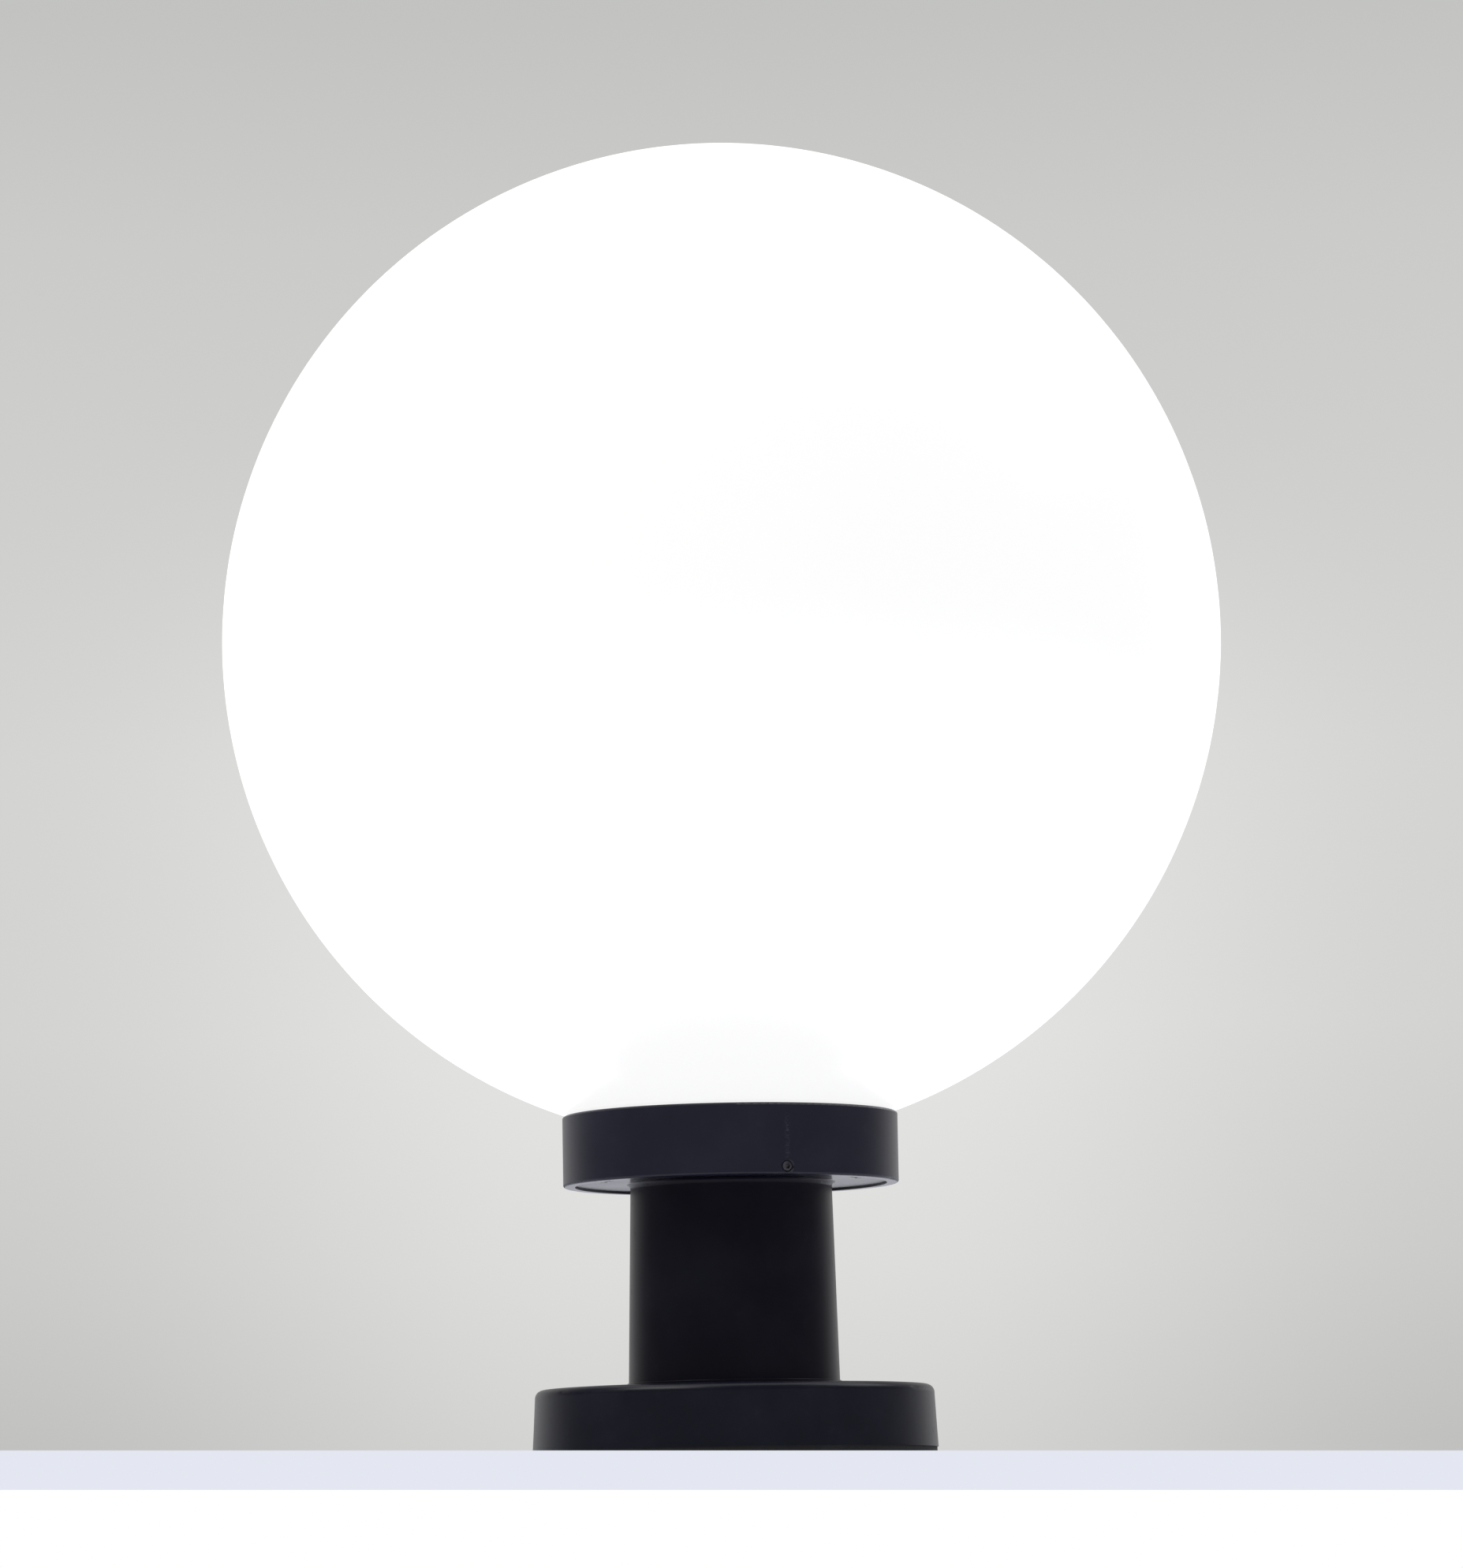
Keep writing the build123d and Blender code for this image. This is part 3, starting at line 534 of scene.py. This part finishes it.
def treeThreadedSleeve():
    # rolled sheet-metal thread of a lamp cap or its holder, as the sleeve's outer face
    start, given = newTree("threadedSleeve", Low=0.0, Length=0.02, Radius=0.013, Depth=0.0008, Pitch=0.0036,
                           Rows=96, Columns=96, Curl=0.0, **{
                               "Curl Height": 0.0012, "Plain Top": 0.002, "Plain Foot": 0.001})
    sheet = start.make("GeometryNodeMeshGrid", None, {
        "Vertices X": given["Rows"], "Vertices Y": given["Columns"]}, "Mesh")
    u, v, flat = start.make("GeometryNodeInputPosition").axes()
    below = (u + 0.5) * given["Length"]          # distance below the upper edge
    above = given["Length"] - below
    angle = (v + 0.5) * (2 * pi)
    wind = (above + given["Low"]) * (2 * pi) / given["Pitch"] - angle
    thread = below.between(given["Plain Top"] * 0.5, given["Plain Top"])
    thread = thread * above.between(given["Plain Foot"] * 0.5, given["Plain Foot"])
    curl = (1 - above.between(0.0, given["Curl Height"])) * given["Curl"]
    radius = given["Radius"] - (0.5 - wind.cosine() * 0.5) * given["Depth"] * thread - curl
    place = start.vector(radius * angle.sine(), radius * angle.cosine() * -1, above + given["Low"])
    shape = start.make("GeometryNodeSetPosition", None, {"Geometry": sheet, "Position": place})
    shape = start.make("GeometryNodeMergeByDistance", None, {"Geometry": shape, "Distance": weld})
    return endTree(shape, given["Finish"])


def threadedRod(start, radius, length, pitch, depth):
    # upright rod on z = 0 with a right-hand thread
    rowsPerTurn, sides = 7, 28
    rows = (length / pitch * rowsPerTurn).floor() + 1
    rod = start.make("GeometryNodeMeshCylinder", {"fill_type": "TRIANGLE_FAN"}, {
        "Vertices": sides, "Side Segments": rows, "Radius": radius, "Depth": length}, "Mesh")
    x, y, z = start.make("GeometryNodeInputPosition").axes()
    away = (x * x + y * y) ** 0.5
    wind = z * (2 * pi) / pitch - y.turnFrom(x)
    kept = 1 - (0.5 - wind.cosine() * 0.5) * depth / away
    place = start.vector(x * kept, y * kept, z + length * 0.5)
    return start.make("GeometryNodeSetPosition", None, {"Geometry": rod, "Position": place})


def cutOut(start, body, tools):
    return start.make("GeometryNodeMeshBoolean", {"operation": "DIFFERENCE", "solver": "EXACT"}, {
        "Mesh 1": body, "Mesh 2": tools}, "Mesh")


def moved(shape, x=0.0, y=0.0, z=0.0, turn=None):
    inputs = {"Geometry": shape, "Translation": shape.vector(x, y, z)}
    if turn is not None:
        inputs["Rotation"] = turn
    return shape.make("GeometryNodeTransform", None, inputs)


def ringOf(start, given, shape, firstAngle=0.0):
    # Count copies of the shape, evenly round the axis
    index = start.make("GeometryNodeInputIndex")
    angle = index * (2 * pi) / given["Count"] + firstAngle
    place = start.vector(given["Circle"] * angle.sine(), given["Circle"] * angle.cosine() * -1, given["Seat"])
    spots = start.make("GeometryNodePoints", None, {"Count": given["Count"], "Position": place})
    return start.make("GeometryNodeInstanceOnPoints", None, {
        "Points": spots, "Instance": shape, "Rotation": start.vector(0.0, 0.0, angle)})


def treeCrossScrews():
    # screws on a circle, heads down, each with a crowned head, a cross recess and a threaded shank
    start, given = newTree("crossScrews", Count=3, Circle=0.04, Seat=0.0, **{
        "First Azimuth": 60.0, "Head Radius": 0.0025, "Under Radius": 0.0025, "Head Height": 0.0019,
        "Crown": 0.3, "Shank Radius": 0.0015, "Shank Length": 0.008, "Pitch": 0.0005, "Thread Depth": 0.0003,
        "Cross Length": 0.0028, "Cross Width": 0.0009, "Cross Depth": 0.001})
    head = start.make("GeometryNodeMeshCone", {"fill_type": "TRIANGLE_FAN"}, {
        "Vertices": 36, "Side Segments": 4, "Fill Segments": 5, "Radius Top": given["Under Radius"],
        "Radius Bottom": given["Head Radius"], "Depth": given["Head Height"]}, "Mesh")
    x, y, z = start.make("GeometryNodeInputPosition").axes()
    out = (x * x + y * y) ** 0.5 / given["Head Radius"]
    down = (given["Head Height"] - z) * (1 - given["Crown"] * out ** 4.0)
    crowned = start.vector(x, y, down * -1)
    head = start.make("GeometryNodeSetPosition", None, {"Geometry": head, "Position": crowned})
    bars = [start.make("GeometryNodeMeshCube", None, {"Size": start.vector(*size)}, "Mesh") for size in (
        (given["Cross Length"], given["Cross Width"], given["Cross Depth"] * 2),
        (given["Cross Width"], given["Cross Length"], given["Cross Depth"] * 2))]
    head = cutOut(start, head, [moved(bar, z=given["Head Height"] * -1) for bar in bars])
    shank = threadedRod(start, given["Shank Radius"], given["Shank Length"], given["Pitch"],
                        given["Thread Depth"])
    screw = start.make("GeometryNodeJoinGeometry", None, {"Geometry": [head, shank]})
    return endTree(ringOf(start, given, screw, given["First Azimuth"] * (pi / 180)), given["Finish"])


def treeSetScrew():
    # headless screw that points at the axis, with a six-sided socket in its outer end
    start, given = newTree("setScrew", Azimuth=0.0, Outer=0.05, Height=0.08, Length=0.0035, Radius=0.0015,
                           Pitch=0.0005, Depth=0.00028, Socket=0.0015, **{"Socket Depth": 0.0013})
    rod = threadedRod(start, given["Radius"], given["Length"], given["Pitch"], given["Depth"])
    socket = start.make("GeometryNodeMeshCylinder", None, {
        "Vertices": 6, "Radius": given["Socket"] / sqrt(3), "Depth": given["Socket Depth"] * 2}, "Mesh")
    screw = moved(cutOut(start, rod, [moved(socket, z=given["Length"])]), z=given["Length"] * -1)
    angle = given["Azimuth"] * (pi / 180)
    screw = moved(screw, given["Outer"] * angle.sine(), given["Outer"] * angle.cosine() * -1, given["Height"],
                  start.vector(pi / 2, 0.0, angle))
    return endTree(screw, given["Finish"])


def treeLedRing():
    # light chips round a circle: the frames with a round pocket, or with Filling 1 the drops in the pockets
    start, given = newTree("ledRing", Count=12, Circle=0.016, Seat=0.0, Along=0.0028, Across=0.0035,
                           Thick=0.0007, Pocket=0.0011, Filling=0)
    pocketDepth, dropHeight = 0.4, 0.15          # shares of the thickness, the drop's above the middle
    dropSquash = (0.98, 0.98, 0.22)
    box = start.make("GeometryNodeMeshCube", None, {
        "Size": start.vector(given["Along"], given["Across"], given["Thick"])}, "Mesh")
    cutter = start.make("GeometryNodeMeshCylinder", None, {
        "Vertices": 24, "Radius": given["Pocket"], "Depth": given["Thick"] * (2 * pocketDepth)}, "Mesh")
    package = cutOut(start, box, [moved(cutter, z=given["Thick"] * 0.5)])
    drop = start.make("GeometryNodeMeshUVSphere", None, {
        "Segments": 24, "Rings": 12, "Radius": given["Pocket"]}, "Mesh")
    drop = start.make("GeometryNodeTransform", None, {"Geometry": drop, "Scale": dropSquash})
    drop = moved(drop, z=given["Thick"] * dropHeight)
    chip = start.make("GeometryNodeSwitch", {"input_type": "GEOMETRY"}, {
        "Switch": given["Filling"], "False": package, "True": drop}, "Output")
    return endTree(ringOf(start, given, chip), given["Finish"])


def growPiece(name, tree, sizes, body, slot, finish=None, stands=None, outline=None, wall=0.0, sharp=32):
    # runs a tree, keeps the result as a plain mesh and hangs it under its body's empty;
    # edges steeper than sharp, in degrees, stay edges
    seed = outline or bpy.data.meshes.new(name + "Seed")
    piece = bpy.data.objects.new(name, seed)
    scene.collection.objects.link(piece)
    grower = piece.modifiers.new("grow", "NODES")
    grower.node_group = tree
    values = {**sizes, "Finish": finish or finishes[slot]}
    for socket in tree.interface.items_tree:
        if socket.in_out == "INPUT" and socket.name in values:
            grower[socket.identifier] = values[socket.name]
    if wall:
        shell = piece.modifiers.new("wall", "SOLIDIFY")
        shell.thickness = wall
        shell.offset = -1
    look = bpy.context.evaluated_depsgraph_get()
    grown = piece.evaluated_get(look)
    mesh = bpy.data.meshes.new_from_object(grown, preserve_all_data_layers=True, depsgraph=look)
    piece.modifiers.clear()
    piece.data = mesh
    mesh.name = name
    bpy.data.meshes.remove(seed)
    mesh.polygons.foreach_set("use_smooth", [True] * len(mesh.polygons))
    mesh.set_sharp_from_angle(angle=radians(sharp))
    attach(piece, body)
    if stands:
        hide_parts(stands)
    print(name, "made,", len(mesh.polygons), "faces")


def outlineMesh(name, points):
    mesh = bpy.data.meshes.new(name)
    mesh.from_pydata([(r, 0, z) for r, z in points], [(n, n + 1) for n in range(len(points) - 1)], [])
    return mesh


def arc(centre, radius, start, end, steps):
    # (radius, height) points of an arc; in degrees, 0 points outwards and 90 up
    turns = [radians(start + (end - start) * n / steps) for n in range(steps + 1)]
    return [(centre[0] + radius * cos(turn), centre[1] + radius * sin(turn)) for turn in turns]


globe = {
    "wall": 2.5 * mm,
    "neckRadius": 42 * mm,
    "neckRound": 3 * mm,       # where the sphere runs into the neck
    "rimRound": 0.8 * mm,      # the neck's lower edge
    "steps": 110,              # from the crown to the neck
    "bendSteps": 6,
    "rimSteps": 4,
    "segments": 160,           # round the axis
}


def makeGlobe(trees):
    low, top = nodeLow("globe"), nodeTop("globe")
    radius = min(nodeRadius("globe"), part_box("globe")[1].y)
    centre = top - radius
    neck, bend, rim = globe["neckRadius"], globe["neckRound"], globe["rimRound"]
    # the bend touches the sphere and the neck from outside
    bendOut = neck + bend
    bendHeight = centre - sqrt((radius + bend) ** 2 - bendOut ** 2)
    touch = -90 + asin(bendOut / (radius + bend)) * 180 / pi
    inner = radius - globe["wall"]
    innerNeck = neck - globe["wall"]
    innerTouch = -90 + asin(innerNeck / inner) * 180 / pi
    points = arc((0, centre), radius, 90, touch, globe["steps"])
    points += arc((bendOut, bendHeight), bend, touch + 180, 180, globe["bendSteps"])
    points += arc((neck - rim, low + rim), rim, 0, -90, globe["rimSteps"])
    points += arc((innerNeck + rim, low + rim), rim, -90, -180, globe["rimSteps"])
    points += arc((0, centre), inner, innerTouch, 90, globe["steps"])
    growPiece("globeShell", trees["turned"], {"Segments": globe["segments"]}, "globe_unit", "opal_globe",
              stands="globe", outline=outlineMesh("globeOutline", points), sharp=60)


thread = {
    "pitch": 3.629 * mm,       # of the 27 mm lamp cap
    "depth": 0.8 * mm,
    "plainFoot": 1.6 * mm,     # without thread at the lower end
    "columns": 97,
    "rowsPerTurn": 14,
}

sleeves = {                    # curl is how far the lower edge turns in, plainTop is without thread
    "capThread": {"node": "bulb_cap", "body": "lamp", "wall": 0.4 * mm, "curl": 0.7 * mm,
                  "plainTop": 3.2 * mm},
    "shellThread": {"node": "holder_shell", "body": "pedestal", "wall": 0.5 * mm, "curl": 0.0,
                    "plainTop": 1.2 * mm},
}


def makeThreads(trees):
    for name, sleeve in sleeves.items():
        node = sleeve["node"]
        length = nodeTop(node) - nodeLow(node)
        growPiece(name, trees["sleeve"], {
            "Low": nodeLow(node), "Length": length, "Radius": nodeRadius(node), "Depth": thread["depth"],
            "Pitch": thread["pitch"], "Rows": ceil(length / thread["pitch"] * thread["rowsPerTurn"]),
            "Columns": thread["columns"], "Curl": sleeve["curl"], "Plain Top": sleeve["plainTop"],
            "Plain Foot": thread["plainFoot"],
        }, sleeve["body"], "nickel_plate", stands=node, wall=sleeve["wall"])


plateScrew = {
    "node": "plate_screws",
    "slot": "stainless_steel",
    "azimuth": 60.0,           # of the first of three
    "headRadius": 2.5 * mm,
    "underRadius": 2.5 * mm,   # of the head where it meets the shank
    "headHeight": 1.9 * mm,
    "crown": 0.30,             # the head's edge is this share of its height lower
    "shankRadius": 1.45 * mm,
    "pitch": 0.6 * mm,
    "threadDepth": 0.3 * mm,
    "crossDepth": 1.0 * mm,
}

closingScrew = {
    "node": "base_plate_screws",
    "slot": "zinc_steel",
    "azimuth": 0.0,
    "headRadius": 2.8 * mm,
    "underRadius": 1.25 * mm,
    "headHeight": 1.4 * mm,
    "crown": 0.0,
    "shankRadius": 1.25 * mm,
    "pitch": 0.9 * mm,
    "threadDepth": 0.28 * mm,
    "crossDepth": 0.9 * mm,
}


def makeScrews(trees):
    for name, screw in (("crossScrews", plateScrew), ("closingScrews", closingScrew)):
        node = screw["node"]
        low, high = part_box(node)
        seat = low.z + screw["headHeight"]
        growPiece(name, trees["screws"], {
            "Circle": max(-low.y, high.y) - screw["headRadius"], "Seat": seat,
            "First Azimuth": screw["azimuth"], "Head Radius": screw["headRadius"],
            "Under Radius": screw["underRadius"], "Head Height": screw["headHeight"],
            "Crown": screw["crown"], "Shank Radius": screw["shankRadius"], "Shank Length": high.z - seat,
            "Pitch": screw["pitch"], "Thread Depth": screw["threadDepth"],
            "Cross Depth": screw["crossDepth"],
        }, "pedestal", screw["slot"], stands=node, sharp=40)


lockScrew = {
    "azimuths": {"front": 19.5, "right": 139.5, "left": 259.5},
    "height": 2.4 * mm,        # above the collar's lower edge
    "recess": 0.3 * mm,        # of the outer end in the collar
    "length": 3.45 * mm,
    "radius": 1.5 * mm,
}


def makeLockScrews(trees):
    for side, azimuth in lockScrew["azimuths"].items():
        node = "lock_screw_" + side
        growPiece("setScrew" + side.title(), trees["setScrew"], {
            "Azimuth": azimuth, "Outer": nodeRadius("collar") - lockScrew["recess"],
            "Height": nodeLow("collar") + lockScrew["height"], "Length": lockScrew["length"],
            "Radius": lockScrew["radius"],
        }, node, "stainless_steel", finish=finishes["lock_steel"], stands=node, sharp=40)


ledChip = {
    "count": 12,
    "circle": 16 * mm,
    "along": 2.8 * mm,
    "across": 3.5 * mm,
    "pocket": 1.1 * mm,
}


def makeLeds(trees):
    low, top = nodeLow("led_chips"), nodeTop("led_chips")
    sizes = {"Count": ledChip["count"], "Circle": ledChip["circle"], "Seat": (low + top) / 2,
             "Along": ledChip["along"], "Across": ledChip["across"], "Thick": top - low,
             "Pocket": ledChip["pocket"]}
    growPiece("ledPackages", trees["leds"], {**sizes, "Filling": 0}, "lamp", "led_phosphor",
              finish=finishes["led_package"], stands="led_chips")
    growPiece("ledFillings", trees["leds"], {**sizes, "Filling": 1}, "lamp", "led_phosphor")


studio = {
    "floorRadius": 6.0,
    "floorSteps": 96,          # corners of its edge
    "floorLap": 0.003,         # the floor reaches this far under the foot's gasket
    "floorColour": (0.79, 0.81, 0.90),
    "floorDuller": 0.985,      # the floor's clouds against its colour
    "floorFar": (0.745, 0.745, 0.825),
    "farFade": (0.45, 1.6),    # distances from the light over which the floor turns into floorFar
    "haze": 0.016,             # sine of the height over which the floor's far edge fades
    "skyLow": 0.0198,          # sine of the height at which the picture's sky starts
    "skyReach": 0.25,          # sine of the height at which the ramp below ends
    # the backdrop's grey by height: painted light and shade, palest around the light's height and darker
    # toward the top
    "sky": ((0.0, 0.527), (0.12, 0.597), (0.27, 0.65), (0.45, 0.658), (0.60, 0.625), (0.78, 0.597),
            (0.92, 0.545), (1.0, 0.53)),
    "skyBlue": 0.985,          # its blue against its red and green
    "halo": 0.13,              # the backdrop is paler behind the light: a painted glow of the light on it
    "haloAcross": (0.125, 0.02),    # sines of the angles to the side over which the halo rises
    "haloUp": (0.19, 0.12),         # sines of the heights over which it rises
    "behind": 0.16,            # how bright the room behind the camera mirrors, against the backdrop
    "behindFade": (0.25, 0.95),     # cosines of the angle to the backdrop between the two
    "ambient": 0.52,           # strength of the world as a light
}


lamps = {
    "keyLamp": {"place": (-1.2, -0.8, 2.1), "width": 1.6, "height": 1.6, "power": 22.0,
                "colour": (1.0, 0.99, 0.97)},
    "fillLamp": {"place": (1.5, 0.2, 1.9), "width": 1.4, "height": 1.6, "power": 14.0,
                 "colour": (0.97, 0.98, 1.0)},
}

lampTarget = (0, 0, 0.18)


tableEdge = {
    "distance": 0.20,          # from the lens
    "halfWidth": 0.035,
    "rows": (1839, 1889, 2010),     # picture rows between which its bands lie
    "colours": ((0.776, 0.799, 0.880), (1, 1, 1)),
}


def makeWorld():
    world = bpy.data.worlds.new("studio")
    scene.world = world
    world.use_nodes = True
    tree = world.node_tree
    tree.nodes.clear()
    start = Wire(tree)
    across, ahead, up = start.make("ShaderNodeTexCoord", None, None, "Generated").axes()
    stops = [(place, (grey, grey, grey)) for place, grey in studio["sky"]]
    height = (up - studio["skyLow"]) / studio["skyReach"]
    # painted light and shade on the backdrop, by height
    grey = start.make("ShaderNodeValToRGB", {"stops": stops}, {"Fac": height}).axes()[0]
    # painted glow of the light on the backdrop behind it
    halo = across.size().between(*studio["haloAcross"]) * up.between(*studio["haloUp"])
    grey = grey + halo * ahead.over(0.0) * studio["halo"]
    haze = up.between(studio["haze"], 0.0)
    farGrey, farBlue = studio["floorFar"][0], studio["floorFar"][2]
    grey = grey * (1 - haze) + haze * farGrey
    blue = haze.between(0.0, 1.0, studio["skyBlue"], farBlue / farGrey)
    towards = ahead.between(*studio["behindFade"], studio["behind"], 1.0)
    shown = start.ray("Camera").larger(start.ray("Transmission"))
    mirrored = start.ray("Glossy")
    unseen = mirrored * grey * towards + (1 - mirrored) * studio["ambient"]
    level = shown * grey + (1 - shown) * unseen
    colour = start.make("ShaderNodeCombineColor", None, {"Red": level, "Green": level, "Blue": level * blue})
    back = start.make("ShaderNodeBackground", None, {"Color": colour})
    output = tree.nodes.new("ShaderNodeOutputWorld")
    tree.links.new(back.socket, output.inputs["Surface"])


def makeFloor():
    # open under the foot, so that its underside is lit when it is seen from below
    steps = studio["floorSteps"]
    turns = [2 * pi * n / steps for n in range(steps)]
    radii = (nodeRadius("base_gasket") - studio["floorLap"], studio["floorRadius"])
    mesh = bpy.data.meshes.new("floor")
    mesh.from_pydata([(radius * cos(turn), radius * sin(turn), 0) for radius in radii for turn in turns], [],
                     [(n, steps + n, steps + (n + 1) % steps, (n + 1) % steps) for n in range(steps)])
    floor = bpy.data.objects.new("floor", mesh)
    scene.collection.objects.link(floor)
    material, shader, place = newFinish("floorPaint", studio["floorColour"], 0.6)
    cloud = place.noise(3.0, 3.0, 0.5).between(0.3, 0.7)
    duller = tuple(channel * studio["floorDuller"] for channel in studio["floorColour"])
    feed(shader, colour=cloud.mixColour(studio["floorColour"], duller))
    x, y, z = place.axes()
    far = ((x * x + y * y) ** 0.5).between(*studio["farFade"])
    far = far * place.ray("Camera").larger(place.ray("Glossy"))
    above = mixShaders(far, Wire(place.tree, shader.outputs[0]), glowing(place, studio["floorFar"]))
    # from below the floor is clear, so that the low lens looks past it
    below = place.make("ShaderNodeNewGeometry", out="Backfacing")
    setSurface(material, mixShaders(below, above, place.make("ShaderNodeBsdfTransparent")))
    mesh.materials.append(material)


def makeTableEdge():
    # the front edge of what the light stands on, a narrow card close before the lens
    middle = camera["pictureHeight"] / 2
    reach = tableEdge["distance"]
    corners = [(side * tableEdge["halfWidth"], (middle - row) / camera["focalPixels"] * reach, -reach)
               for row in tableEdge["rows"] for side in (-1, 1)]
    mesh = bpy.data.meshes.new("tableEdge")
    mesh.from_pydata([scene.camera.matrix_world @ Vector(corner) for corner in corners], [],
                     [(2 * n, 2 * n + 1, 2 * n + 3, 2 * n + 2) for n in range(len(tableEdge["colours"]))])
    for n, colour in enumerate(tableEdge["colours"]):
        material, shader, place = newFinish("tableEdge%d" % n, colour, 1.0)
        clear = place.make("ShaderNodeBsdfTransparent")
        # only the camera sees it
        setSurface(material, mixShaders(place.ray("Camera"), clear, glowing(place, colour)))
        mesh.materials.append(material)
        mesh.polygons[n].material_index = n
    card = bpy.data.objects.new("tableEdge", mesh)
    scene.collection.objects.link(card)


def makeLamp(name, lamp):
    light = bpy.data.lights.new(name, "AREA")
    light.shape = "RECTANGLE"
    light.size = lamp["width"]
    light.size_y = lamp["height"]
    light.energy = lamp["power"]
    light.color = lamp["colour"]
    holder = bpy.data.objects.new(name, light)
    scene.collection.objects.link(holder)
    holder.location = lamp["place"]
    aim = Vector(lampTarget) - Vector(lamp["place"])
    holder.rotation_euler = aim.to_track_quat("-Z", "Y").to_euler()


def makeStudio():
    scene.view_settings.view_transform = "Standard"
    makeWorld()
    makeFloor()
    makeTableEdge()
    for name, lamp in lamps.items():
        makeLamp(name, lamp)
    print("studio lit")


makeCamera()
makeStudio()
makeFinishes()
dressNodes()
trees = {
    "turned": treeTurned(),
    "sleeve": treeThreadedSleeve(),
    "screws": treeCrossScrews(),
    "setScrew": treeSetScrew(),
    "leds": treeLedRing(),
}
makeGlobe(trees)
makeThreads(trees)
makeScrews(trees)
makeLockScrews(trees)
makeLeds(trees)
